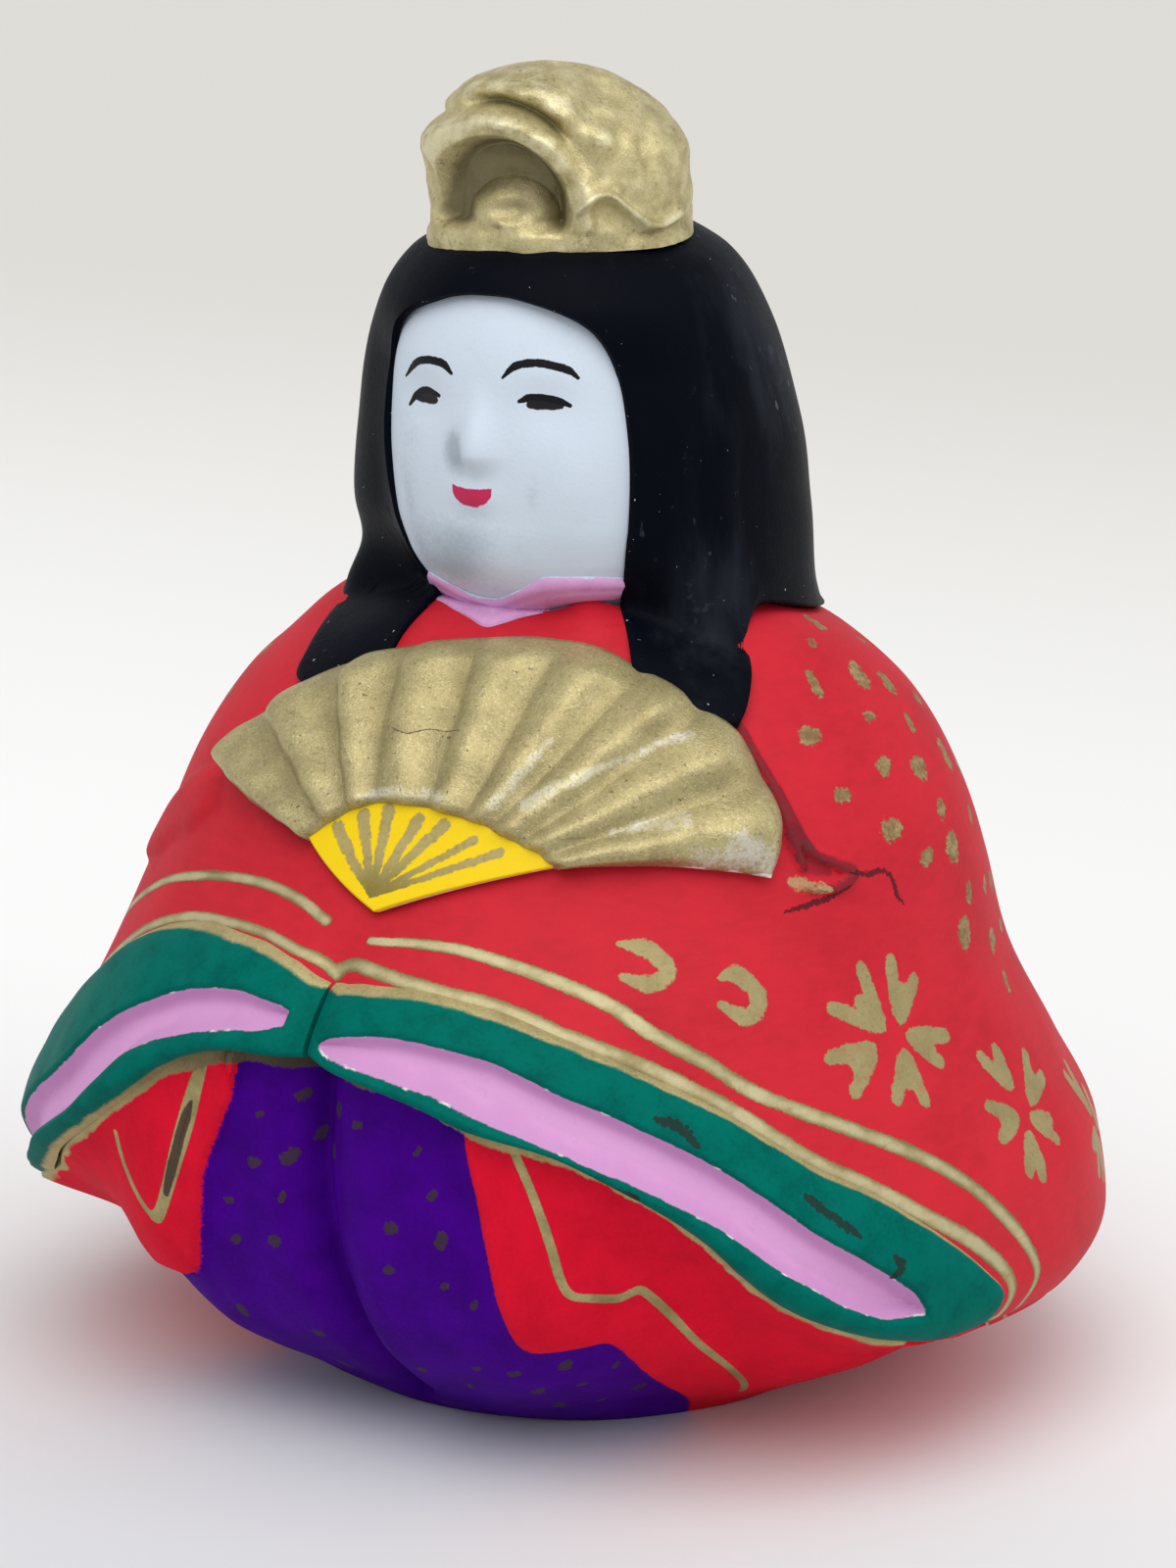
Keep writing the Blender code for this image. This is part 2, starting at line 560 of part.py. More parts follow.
def under_face(angle, height, clearance):
    """Radius that clears both the robe and the head at this height."""
    middle = ROBE_HEIGHT + HEAD_HEIGHT / 2
    clear = face_radius(angle, height - clearance if height > middle else height)
    if height < ROBE_HEIGHT + clearance:
        clear = max(clear, robe_radius(angle, min(height, ROBE_HEIGHT)))
    return clear + clearance


def build_collar():
    def section(angle):
        low = ROBE_HEIGHT + HEAD_HEIGHT * collar_low_share(abs(angle))
        high = ROBE_HEIGHT + HEAD_HEIGHT * collar_high_share(abs(angle))
        heights = steps(low, high, 4)
        inner = [(under_face(angle, height, JOINT), height) for height in heights]
        outer = [(radius + COLLAR_THICKNESS, height) for radius, height in inner]
        return outer + inner[::-1]

    stations = [(angle, 0.0) for angle in steps(-COLLAR_ANGLE, COLLAR_ANGLE, 14)]
    loft_stations("collar", stations, 1, section, "pink")


def build_head():
    """Head with a moulded nose and a neck that plugs into the robe."""
    bottom = ROBE_HEIGHT + JOINT
    top = ROBE_HEIGHT + HEAD_HEIGHT * FACE_SHARES[-1][0]
    neck = robe_radius(180, ROBE_HEIGHT) - WALL - JOINT
    nose = ROBE_HEIGHT + HEAD_HEIGHT * NOSE_SHARE
    half = HEAD_HEIGHT * NOSE_LENGTH_SHARE * 2
    heights = [top - (top - nose - half) * (k / 6) ** 2 for k in range(1, 7)]
    heights += steps(nose + half, nose - half, 6)[1:] + steps(nose - half, bottom, 4)[1:]
    chains = []
    for angle in list(HEAD_FRONT_ANGLES) + steps(HEAD_SIDE_ANGLE, 360 - HEAD_SIDE_ANGLE, 20):
        turned = angle - 360 if angle > 180 else angle
        chain = [(0.0, top)]
        chain += [(face_radius(turned, height) + nose_proud(turned, height), height) for height in heights]
        chain += [(neck, bottom), (neck, bottom - NECK_LENGTH), (0.0, bottom - NECK_LENGTH)]
        chains.append([place(angle, *point) for point in chain])
    loft_round("head", chains, "white")


def fan_point(turn, reach, proud):
    """Point of the fan at an angle and a share of its radius, this far out from the robe."""
    length = reach * ROBE_HEIGHT * fan_share(turn)
    height = FAN_PIVOT_SHARE * ROBE_HEIGHT + FAN_RISE * length * math.cos(math.radians(turn))
    around = (robe_radius(10, height) + robe_radius(90, height)) / 2
    angle = FAN_PIVOT_ANGLE + math.degrees(length * math.sin(math.radians(turn)) / around)
    return angle, robe_radius(angle, height) + proud, height


def fan_top(angle):
    """Height of the fan's outer edge at an angle round the doll, or 0 beside the fan."""
    edge = [fan_point(turn, 1 + FAN_EDGE_SHARE, 0) for turn in steps(FAN_START, FAN_END, 60)]
    touching = [height for at, radius, height in edge if abs(at - angle) < FAN_BESIDE_ANGLE]
    return max(touching, default=0.0)


def hair_low(angle):
    """Height of the hair's lower outline, kept clear of the fan."""
    low = ROBE_HEIGHT + HEAD_HEIGHT * hair_low_share(abs(angle))
    return max(low, fan_top(angle) + JOINT) if abs(angle) < 90 else low


def build_hair():
    """Hair with its side locks and the long tress down the back, open in front for the face."""
    top = ROBE_HEIGHT + HEAD_HEIGHT
    lining_top = ROBE_HEIGHT + HEAD_HEIGHT * FACE_SHARES[-1][0] + HAIR_CLEARANCE

    def heights_below(low, limit):
        middle = max(ROBE_HEIGHT + HEAD_HEIGHT * HAIR_SIDE_SHARE, low + (limit - low) / 4)
        upper = [limit - (limit - middle) * (k / 7) ** 2 for k in range(1, 7)]
        return upper + steps(middle, low, 7)

    chains = []
    for angle in list(HAIR_ANGLES) + [180.0] + [360 - angle for angle in HAIR_ANGLES[:0:-1]]:
        turned = angle - 360 if angle > 180 else angle
        low = hair_low(turned)
        chain = [(0.0, top)] + [(hair_radius(turned, height), height) for height in heights_below(low, top)]
        under = heights_below(low, lining_top)
        inner = [(under_face(turned, height, HAIR_CLEARANCE), height) for height in under]
        chains.append([place(angle, *point) for point in chain + inner[::-1] + [(0.0, lining_top)]])
    loft_round("hair", chains, "black")


def dome_height(x, y):
    """Height of the hair under a point of the crown."""
    radius, angle = math.hypot(x, y), math.degrees(math.atan2(x, -y))
    low, high = ROBE_HEIGHT + HEAD_HEIGHT / 2, ROBE_HEIGHT + HEAD_HEIGHT
    for _ in range(24):
        middle = (low + high) / 2
        low, high = (middle, high) if hair_radius(angle, middle) > radius else (low, middle)
    return high


def build_crown():
    """Crown with a raised round crest in front, seated on the hair."""
    top = ROBE_HEIGHT + HEAD_HEIGHT + CROWN_HEIGHT
    centre = Vector((-CROWN_RIGHT, -CROWN_FORWARD, 0))
    chains = []
    for angle in steps(0, 360, 32)[:-1]:
        turned = angle - 360 if angle > 180 else angle
        radius = ellipse_radius(angle, CROWN_BREADTH, CROWN_DEPTH)
        seat = []
        for share in SEAT_ROWS:
            spot = centre + place(angle, radius * share, 0)
            seat.append(spot + Vector((0, 0, dome_height(spot.x, spot.y) + SEAT_CLEARANCE)))
        base = seat[-1].z
        front = max(0.0, math.cos(math.radians(turned))) ** 2
        chain = [centre + Vector((0, 0, top))]
        for share in CROWN_ROWS:
            across = math.radians(turned) * radius
            ring = math.hypot(across, (share - CREST_SHARE) * (top - base)) - CREST_RADIUS
            crest = CREST_PROUD * math.exp(-((ring / CREST_WIDTH) ** 2)) * front
            crest += lean(turned, CROWN_LEAN * smooth_step(0.4, 0.85, share))
            spot = place(angle, radius * crown_share(share) + crest, base + (top - base) * share)
            chain.append(centre + spot)
        chains.append(chain + seat[::-1])
    loft_round("crown", chains, "gold")


def fan_section(turn, shares, thickness, pleat, edge):
    front = [fan_point(turn, share, FAN_CLEARANCE + thickness + pleat) for share in shares]
    front[-1] = fan_point(turn, shares[-1] * (1 + edge), FAN_CLEARANCE + thickness + pleat)
    back = [fan_point(turn, share, FAN_CLEARANCE) for share in shares]
    back[-1] = fan_point(turn, shares[-1] * (1 + edge), FAN_CLEARANCE)
    return [place(*point) for point in front + back[::-1]]


def build_fan_leaf():
    """Folded leaf of the fan, moulded as one plate with a valley between the panels."""
    loops = []
    for k, turn in enumerate(steps(FAN_START, FAN_END, FAN_PANELS * len(PLEAT_SHARES))):
        ridge = PLEAT_SHARES[k % len(PLEAT_SHARES)]
        shares = steps(RIBS_SHARE + FAN_EDGE_SHARE, 1.0, 5)
        loops.append(fan_section(turn, shares, FAN_THICKNESS, FAN_PLEAT * ridge, FAN_EDGE_SHARE * ridge))
    loft_bar("fan_leaf", loops, "gold")


def build_fan_ribs():
    """Bare ribs between the pivot and the leaf."""
    shares = steps(RIBS_START_SHARE, RIBS_SHARE, 3)
    turns = steps(FAN_START, FAN_END, 18)
    loft_bar("fan_ribs", [fan_section(turn, shares, RIBS_THICKNESS, 0.0, 0.0) for turn in turns], "yellow")


def main():
    for old in list(bpy.data.objects):
        bpy.data.objects.remove(old)
    build_base_disc()
    build_under_robe()
    build_hakama()
    build_sleeve("sleeve_left", 1)
    build_sleeve("sleeve_right", -1)
    build_robe_back()
    build_chest()
    build_hem("hem_left", 1)
    build_hem("hem_right", -1)
    build_lining("lining_left", 1)
    build_lining("lining_right", -1)
    build_collar()
    build_head()
    build_hair()
    build_crown()
    build_fan_leaf()
    build_fan_ribs()


main()
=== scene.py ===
import math

import bpy
import numpy as np
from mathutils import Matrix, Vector, noise


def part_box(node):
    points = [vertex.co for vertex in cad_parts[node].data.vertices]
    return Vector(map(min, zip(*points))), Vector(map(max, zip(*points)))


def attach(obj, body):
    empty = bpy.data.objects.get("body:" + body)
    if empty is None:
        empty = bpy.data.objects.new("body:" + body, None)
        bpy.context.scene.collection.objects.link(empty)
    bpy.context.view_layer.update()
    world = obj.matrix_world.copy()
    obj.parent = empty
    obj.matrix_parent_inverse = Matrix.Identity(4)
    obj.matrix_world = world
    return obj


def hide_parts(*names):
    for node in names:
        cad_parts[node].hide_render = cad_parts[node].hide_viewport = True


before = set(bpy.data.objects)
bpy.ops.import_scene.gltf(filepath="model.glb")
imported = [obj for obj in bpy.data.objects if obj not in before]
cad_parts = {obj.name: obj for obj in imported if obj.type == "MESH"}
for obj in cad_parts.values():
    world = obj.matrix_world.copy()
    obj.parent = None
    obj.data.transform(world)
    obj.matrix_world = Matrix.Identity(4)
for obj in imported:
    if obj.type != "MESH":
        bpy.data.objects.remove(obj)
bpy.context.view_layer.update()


def curve_through(points):
    """A function on arrays that passes smoothly through the points and never swings past them."""
    xs, ys = np.array(points, dtype=float).T
    slopes = np.diff(ys) / np.diff(xs)
    before, after = slopes[:-1], slopes[1:]
    together = np.where(before * after > 0, before + after, 1.0)
    middle = np.where(before * after > 0, 2 * before * after / together, 0.0)
    tangents = np.concatenate(([slopes[0]], middle, [slopes[-1]]))

    def at(x):
        x = np.clip(np.asarray(x, dtype=float), xs[0], xs[-1])
        i = np.clip(np.searchsorted(xs, x, side="right") - 1, 0, len(xs) - 2)
        span = xs[i + 1] - xs[i]
        t = (x - xs[i]) / span
        start, end = (1 + 2 * t) * (1 - t) ** 2, t * t * (3 - 2 * t)
        lead, trail = t * (1 - t) ** 2, t * t * (t - 1)
        return start * ys[i] + end * ys[i + 1] + span * (lead * tangents[i] + trail * tangents[i + 1])

    return at


def smooth_step(low, high, value):
    t = np.clip((value - low) / (high - low), 0.0, 1.0)
    return t * t * (3 - 2 * t)


def hump(value, middle, width):
    return np.exp(-(((value - middle) / width) ** 2))


def mounds(table, angle, level):
    """Soft mounds and hollows. A row is a depth, an angle and its spread, and a height and its spread."""
    return sum(depth * hump(angle, at, wide) * hump(level, up, tall) for depth, at, wide, up, tall in table)


# The doll is painted clay, pressed in moulds. Angles go round it in degrees from its front and
# grow towards its left, at +X. Heights in the tables are millimetres above the floor.
MM = 0.001
ROBE_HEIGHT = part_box("robe_back")[1][2]
HEAD_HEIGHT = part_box("hair")[1][2] - ROBE_HEIGHT
CROWN_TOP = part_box("crown")[1][2]
ROBE_RADIUS = 37.8 * MM
HEAD_DEPTH = 13.9 * MM

# Camera, fitted to the figure's landmarks in the photograph
CAMERA_AZIMUTH, CAMERA_ELEVATION = 30.0, 14.0
CAMERA_DISTANCE = 350.0 * MM
CAMERA_AIM = Vector((0, 0, 40.0 * MM))
CAMERA_LENS, SENSOR_HEIGHT = 116.35, 36.0
CAMERA_SHIFT = 0.005

# Grids: the shares of a wall's rows at which its outside starts and ends, the rows that close a neck or a foot,
# and the share past which a point is in the last row
ROBE_ROWS, HEM_ROWS, SKIRT_ROWS, COLLAR_ROWS = (0.03, 0.94), (0, 0.8), (0.04, 0.93), (0, 0.75)
NECK_ROWS, CROWN_FOOT_ROWS = 0.03, 0.06
LAST = 0.9999
WELD = 0.002 * MM
SHARP_ANGLE = 60
UNPAINTED = -6.0

# Robe profile: (share of its height, share of its radius), across the sleeves and at the front
side_share = curve_through((
    (0.0, 0.58), (0.046, 0.75), (0.13, 0.918), (0.226, 1.0), (0.316, 0.987), (0.417, 0.913), (0.543, 0.818),
    (0.657, 0.77), (0.765, 0.718), (0.862, 0.634), (0.938, 0.508), (0.982, 0.37), (1.0, 0.291),
))
front_share = curve_through((
    (0.0, 0.58), (0.046, 0.767), (0.11, 0.913), (0.22, 1.026), (0.294, 1.04), (0.367, 1.026), (0.44, 0.989),
    (0.514, 0.926), (0.606, 0.815), (0.679, 0.709), (0.752, 0.63), (0.826, 0.553), (0.899, 0.466), (0.967, 0.365),
    (1.0, 0.291),
))
BACK_DEPTH_SHARE = 0.905
LEAN_ANGLE, ROBE_LEAN, HEAD_LEAN = 120.0, 0.45 * MM, 0.6 * MM
CREASE_ANGLE, CREASE_WIDTH, CREASE_DEPTH = -2.4, 4.0, 1.3 * MM
CREASE_FADE, NECK_FADE = (0.6, 0.68), (0.88, 1)
RIM_HEIGHT, RIM_RISE, RIM_ROUND, RIM_LEVEL_ANGLE = 6.0 * MM, 2.8 * MM, 1.2 * MM, 125
HEM_END, HEM_WRAP = 77.2, 3.0
CLAY_WALL, HAIR_CLAY, LEAF_CLAY, RIBS_CLAY = 3.0 * MM, 1.0 * MM, 1.9 * MM, 1.2 * MM
SHOULDER_RISE, FRONT_RISE = 1.5 * MM, 0.8 * MM
ROBE_UNDER_HEM = 1.4 * MM
SLIP_PROUD, FOLD_PROUD = 0.55 * MM, 0.7 * MM

# Edges of each hem and of the strip of lining in it, on the doll's left (1) and right (-1)
hem_top = {
    1: curve_through((
        (0, 33.2), (3, 33.5), (9, 33.6), (19, 32.9), (28, 31.4), (36, 29.6), (44.6, 27.1), (50.2, 25.0), (55, 22.9),
        (60.7, 21.0), (66.3, 18.5), (71.3, 16.0), (74.6, 14.0), (76.2, 12.9), (77.2, 11.4),
    )),
    -1: curve_through((
        (0, 33.2), (3, 33.2), (8, 34.2), (15, 34.8), (24, 34.8), (32, 34.1), (40, 32.3), (48, 29.6), (56, 26.2),
        (66, 20.6), (71.3, 17.0), (74.6, 14.4), (76.2, 13.0), (77.2, 11.4),
    )),
}
hem_low = {
    1: curve_through((
        (0, 28.6), (6, 28.0), (12, 27.1), (18, 25.8), (26.9, 24.4), (32.8, 22.7), (38.6, 20.6), (42.4, 18.8),
        (45.5, 16.8), (50.2, 14.2), (56.1, 12.1), (62.7, 10.4), (70.7, 9.3), (74.4, 9.5), (76.4, 10.3),
        (77.2, 11.4),
    )),
    -1: curve_through((
        (0, 28.6), (3, 28.5), (9, 28.5), (14.6, 28.0), (21.4, 26.2), (25.7, 24.2), (32, 21.5), (42, 17.6),
        (49, 14.9), (55, 12.9), (62.7, 10.8), (70.7, 9.5), (74.4, 9.5), (76.4, 10.3), (77.2, 11.4),
    )),
}
lining_top = {
    1: curve_through((
        (-0.5, 29.9), (1, 30.4), (4, 30.9), (9, 31.1), (13, 30.9), (20, 30.2), (26.6, 28.7), (33.9, 26.9),
        (41, 24.8), (47.9, 22.0), (53.2, 19.3), (57.5, 17.4), (62.2, 15.2), (64.5, 13.9), (65.7, 12.8),
    )),
    -1: curve_through((
        (5.5, 31.5), (7, 31.8), (12.4, 32.1), (19.3, 31.6), (26.3, 30.1), (35.4, 26.9), (40.3, 24.0), (50, 19.9),
        (57, 16.8), (63, 14.0), (65.7, 12.8),
    )),
}
lining_low = {
    1: curve_through((
        (-0.5, 29.7), (1, 29.5), (5.4, 29.1), (13.9, 28.1), (19.6, 26.8), (26.8, 25.2), (35.7, 22.9), (41.1, 21.1),
        (45.1, 19.4), (49.1, 17.3), (52.7, 15.7), (57.2, 13.8), (62.1, 12.6), (65.7, 12.5),
    )),
    -1: curve_through((
        (5.5, 30.6), (7.6, 30.3), (14.9, 29.5), (20.5, 28.5), (26.7, 26.7), (30.3, 24.6), (36, 21.4), (44, 18.3),
        (50, 15.8), (57, 13.4), (63, 12.5), (65.7, 12.5),
    )),
}
LINING_START, LINING_END = {1: -0.5, -1: 5.5}, 65.7
LINING_INNER_TAPER, LINING_OUTER_TAPER = 0.9, 0.8
hem_roll = curve_through((
    (0.0, -1.9), (0.03, -0.6), (0.08, 0.2), (0.16, 0.55), (0.4, 0.8), (0.75, 0.95), (0.9, 0.8), (0.97, 0.4),
    (1.0, -0.2),
))
GROOVE_DEPTH, HEM_END_SUNK = 1.5 * MM, 1.2 * MM
# Angle and spread over which the line under each hem is darkened to umber at the front, as painted shade
HEM_FRONT_SHADE = (-4, 19)

# Lower body
FOOT_RADIUS, FOOT_INNER = 17.5 * MM, 14.5 * MM
FRONT_OVERHANG, SIDE_OVERHANG = 1.4 * MM, 2.4 * MM
BOWL_WRAP_ANGLE, BOWL_SIDE_ANGLES = 72.0, (18, 55)
bowl_share = curve_through((
    (0.0, 0.0), (0.05, 0.166), (0.17, 0.497), (0.28, 0.715), (0.42, 0.868), (0.6, 0.974), (0.77, 1.0), (1.0, 0.995),
))
bowl_side_share = curve_through((
    (0.0, 0.0), (0.1, 0.1), (0.26, 0.29), (0.4, 0.46), (0.53, 0.6), (0.79, 0.79), (1.0, 1.0),
))
UNDER_ROBE_EDGE = (
    (-54, 0.0), (-50, 2.8), (-44, 6.4), (-36, 9.6), (-28, 10.6), (-23.0, 11.2), (-19.1, 15.2), (-17.3, 19.7),
    (-15.3, 22.0), (-13.0, 25.2), (-11.4, 29.0), (16.9, 29.0), (17.7, 24.9), (19.3, 20.1), (20.7, 14.9),
    (21.8, 12.0), (23.0, 10.4), (25.1, 9.8), (29.8, 10.0), (33.0, 10.3), (34.8, 9.7), (37.0, 8.3), (41.6, 5.6),
    (51.7, 1.8), (55, 0.0),
)
under_robe_edge = curve_through(UNDER_ROBE_EDGE)
UNDER_ROBE_PROUD, SKIRT_FLARE = 0.8 * MM, 1.9 * MM
PLEAT = ((-2.3, 28.6), (-3.0, 24.0), (-3.4, 20.8), (-2.9, 13.8), (-1.4, 6.0), (-3.0, 0.7))

# Head: (share of its height above the robe, share of its depth)
face_share = curve_through((
    (-0.1, 0.70), (0.0, 0.76), (0.027, 0.8), (0.066, 0.87), (0.136, 0.942), (0.233, 0.986), (0.389, 1.0),
    (0.564, 0.971), (0.681, 0.928), (0.798, 0.827), (0.856, 0.712), (0.899, 0.504), (0.918, 0.252), (0.926, 0.05),
))
FACE_BREADTH_SHARE = 0.915
hair_share = curve_through((
    (-0.082, 1.186), (0.0, 1.16), (0.113, 1.144), (0.245, 1.122), (0.377, 1.1), (0.514, 1.065), (0.646, 1.007),
    (0.782, 0.913), (0.887, 0.77), (0.953, 0.555), (0.988, 0.33), (1.0, 0.05),
))
HAIR_EDGE, LOCK_PROUD, LOCK_BLEND = 0.35 * MM, 1.0 * MM, 1.4 * MM
HAIR_FULL_ANGLES, FOREHEAD = (38, 70), (0.6, 0.8)
HAIR_WAIST, SHOULDER_HOLLOW = ((0.9 * MM, -62, 26, 57.0 * MM, 2.2 * MM),), 0.8 * MM
# Dust and painted sheen, greyer on the hair at the doll's left side: rows for mounds()
HAIR_DUST_AND_SHEEN = ((1, 98, 24, 72, 8), (1, 64, 14, 56, 5))
# Lower outline of the hair: angle, height, and the angle at which its strand meets the top of the head
HAIR_BORDER = (
    (-180, 24.0, -180), (-176, 25.4, -175), (-171, 29.0, -170), (-166, 34.2, -165), (-161, 40.2, -160),
    (-156, 45.6, -155), (-152, 49.4, -151), (-147, 52.0, -147), (-136, 52.4, -141), (-122, 52.6, -135),
    (-112, 53.0, -130), (-100, 53.6, -124), (-88, 54.0, -117), (-76, 54.0, -111), (-66, 53.4, -107),
    (-58, 52.5, -102), (-51.5, 51.6, -98), (-46, 50.5, -95), (-41.5, 49.0, -92), (-33, 49.0, -88), (-24, 50.0, -84),
    (-20.5, 51.3, -80), (-24.5, 53.6, -76), (-31.0, 57.0, -71), (-33.0, 58.6, -68), (-37.0, 60.6, -64),
    (-39.4, 63.2, -58), (-40.2, 67.0, -51), (-39.6, 70.0, -43), (-37.6, 72.4, -36), (-31.5, 73.7, -28),
    (-23.5, 74.6, -20), (-10.4, 75.4, -9), (0, 75.5, 0), (9.2, 75.4, 8), (22.7, 74.7, 20), (32.5, 73.7, 30),
    (38.3, 72.1, 38), (41.9, 69.9, 45), (43.3, 67.7, 51), (44.2, 64.5, 58), (43.9, 61.0, 65), (43.2, 59.0, 69),
    (43.4, 56.5, 73), (43.4, 54.6, 77), (42.0, 52.5, 81), (41.0, 50.2, 84), (49, 48.9, 88), (57.6, 48.4, 92),
    (60.2, 49.2, 95), (64, 50.6, 98), (67.8, 51.9, 101), (72.4, 53.7, 105), (76.5, 55.0, 109), (84, 54.8, 114),
    (96, 54.0, 121), (110, 53.2, 128), (120, 52.7, 133), (135, 52.4, 140), (147, 52.0, 147), (152, 49.4, 151),
    (156, 45.6, 155), (161, 40.2, 160), (166, 34.2, 165), (171, 29.0, 170), (176, 25.4, 175), (180, 24.0, 180),
)
BORDER_ROUNDINGS, MM_A_DEGREE = 2, 0.26
COLLAR_ANGLE = 44.0
collar_low = curve_through((
    (-44, 54.2), (-24.3, 54.2), (-14, 54.0), (-6.9, 53.8), (0.7, 53.5), (6, 53.8), (10.2, 54.1), (19.2, 54.5),
    (30, 55.0), (44, 55.1),
))
collar_high = curve_through((
    (-44, 55.2), (-34, 55.6), (-27, 56.3), (-19.8, 55.9), (-9.6, 55.2), (-2, 55.1), (9.9, 56.0), (20.6, 57.2),
    (29.7, 57.2), (44, 57.0),
))
COLLAR_PROUD, COLLAR_SUNK = 0.75 * MM, 0.8 * MM

# Crown, an oval standing forward of the neck's axis. Its ornament is made of ovals, in millimetres: middle across
# and up, half breadth and half height
CROWN_BREADTH, CROWN_DEPTH = 9.0 * MM, 6.7 * MM
CROWN_SPOT, CROWN_TURN, CROWN_TILT, CROWN_SEAT = (0.1 * MM, -3.0 * MM, 0), 18.0, 0.6 * MM, 0.3 * MM
CROWN_SHIFT, CROWN_NARROWED = -0.75 * MM, 1.3 * MM
crown_share = curve_through((
    (0.0, 1.0), (0.1, 1.0), (0.18, 0.975), (0.32, 0.985), (0.5, 0.98), (0.62, 0.93), (0.74, 0.84), (0.84, 0.7),
    (0.92, 0.52), (0.975, 0.28), (1.0, 0.05),
))
ARCH, MOUND, DROP = (-2.0, 80.6, 5.0, 4.9), (-1.6, 80.0, 4.2, 3.0), (-1.2, 80.7, 1.7, 0.85)

# Fan: angle at its pivot and millimetres from the pivot, along its outer edge and the top of its ribs
fan_reach = curve_through((
    (-66.8, 19.6), (-64.8, 20.9), (-61.8, 21.2), (-40.8, 20.8), (-25.6, 21.0), (-14, 21.2), (-4.5, 21.6),
    (4.6, 22.2), (16, 23.1), (32.9, 23.7), (44.4, 24.5), (54.6, 25.4), (68.3, 26.1), (77.3, 26.3), (82.2, 25.8),
))
ribs_reach = curve_through((
    (-56.5, 8.4), (-40.8, 8.4), (-20.5, 8.7), (-2.2, 8.6), (16.6, 8.8), (33.7, 9.4), (50, 10.4), (68, 12.3),
))
FAN_PIVOT_ANGLE, FAN_PIVOT_HEIGHT = 1.0, 37.33 * MM
FAN_RISE, PAINT_LEVEL = 0.72, 1.5
PANEL_WIDTH, LEAF_DEPTH = 4.2, 12.5
VALLEYS_OUTER = (-66.8, -49.5, -27.5, -12.5, 1.5, 15, 31, 45, 63, 82.2)
VALLEYS_INNER = (-56.5, -42, -28.3, -14.8, 10.5, 27.5, 39.5, 51.5, 60.5, 68)
RIB_STROKES_START = (-19.0, 1.6)
RIB_STROKES = ((-38.3, 7.9), (-22.6, 8.1), (-9.2, 8.2), (8.3, 7.9), (22.2, 8.2), (39.7, 8.6), (52.2, 9.5))
FAN_WORN = (
    ((47.0, 23.0), (45.9, 20.6), (43.2, 17.8), (41.0, 15.3), (40.2, 13.0)), ((29.5, 17.3), (31.0, 14.2), (32.9, 11.6)),
    ((61.0, 16.5), (63.5, 20.5)), ((-20.0, 9.8), (-7.0, 10.0), (13.0, 10.3)),
)
FAN_CRACK = ((-9.2, 15.1), (-4.2, 14.7), (0.4, 15.1), (5.1, 15.0), (8.8, 15.5))

# Brushwork on the robe: points and half widths of the strokes in millimetres. The gold lines have their half widths
# at the start, the middle and the end first.
GOLD_LINES = (
    ((0.35, 0.6, 0.3), (
        (1.2, 35.7), (7.9, 35.9), (15.7, 35.7), (26.1, 34.5), (33.5, 33.1), (38.1, 31.5), (44.2, 29.6),
        (49.3, 27.6), (55.4, 25.9), (60.9, 24.4), (67.3, 22.5), (72.7, 20.4), (77.1, 17.9), (81.1, 15.3),
        (83.8, 12.8), (83.8, 11.1), (82.7, 9.4),
    )),
    ((0.45, 0.42, 0.3), (
        (-6.5, 36.4), (-12.4, 37.2), (-21.9, 37.5), (-33.5, 36.8), (-44.6, 35.1), (-56, 31.6), (-66, 26.4),
        (-75, 19.6), (-81.0, 15.5), (-83.4, 12.8),
    )),
    ((0.55, 0.62, 0.4), (
        (-2.6, 33.7), (0.6, 34.3), (6.8, 34.0), (12.1, 33.6), (19.5, 33.0), (26.4, 31.8), (36.4, 29.8),
        (45.2, 27.2), (51.4, 24.7), (55.7, 22.9), (61.7, 20.9), (67.5, 18.5), (73.4, 16.0), (78.0, 13.5),
        (79.6, 11.8), (79.4, 10.2), (77.6, 9.0),
    )),
    ((0.5, 0.45, 0.4), (
        (-2.3, 33.5), (-5.0, 34.2), (-8.1, 34.6), (-14.8, 35.1), (-23.2, 35.0), (-31.9, 34.4), (-40.0, 32.7),
        (-48, 30.0), (-56, 26.6), (-66, 21.0), (-73.4, 16.4), (-78.0, 13.5), (-79.6, 12.4),
    )),
)
SHOULDER_DOTS = (
    (97.1, 52.2), (87.0, 51.5), (79.5, 50.0), (71.9, 47.5), (93.8, 49.8), (101.3, 48.9), (87.3, 47.7), (97.8, 46.6),
    (83.7, 45.0), (92.4, 44.2), (104.7, 43.9), (72.8, 43.9), (104.2, 39.7), (93.0, 41.4), (79.8, 41.3),
    (93.0, 39.0), (85.8, 39.0), (102.6, 35.2), (94.8, 35.7), (108.6, 34.6), (91.0, 33.5), (100.6, 31.7),
    (109.0, 31.6), (100.5, 28.9), (110.5, 47.0), (112.8, 42.4), (113.6, 38.4), (113.0, 50.6), (120.0, 45.0),
    (121.0, 39.8), (117.0, 34.4), (126.0, 48.4), (128.5, 42.0), (126.0, 36.6), (135.0, 45.2), (136.0, 39.4),
    (143.0, 42.4), (143.5, 36.4),
)
SLEEVE_DOTS_RIGHT = (
    (-72, 48.6), (-67.7, 45.8), (-80, 50.2), (-84, 47.0), (-76, 44.4), (-90, 50.0), (-93, 45.4), (-86, 42.4),
    (-79, 40.4), (-98, 42.2), (-91, 38.4), (-101, 48.0), (-84, 36.0), (-99, 36.4), (-92, 33.4), (-107, 45.0),
    (-109, 39.6), (-104, 33.6), (-114, 48.4), (-117, 42.4), (-116, 36.6), (-126, 45.2), (-126, 39.2), (-134, 42.0),
)
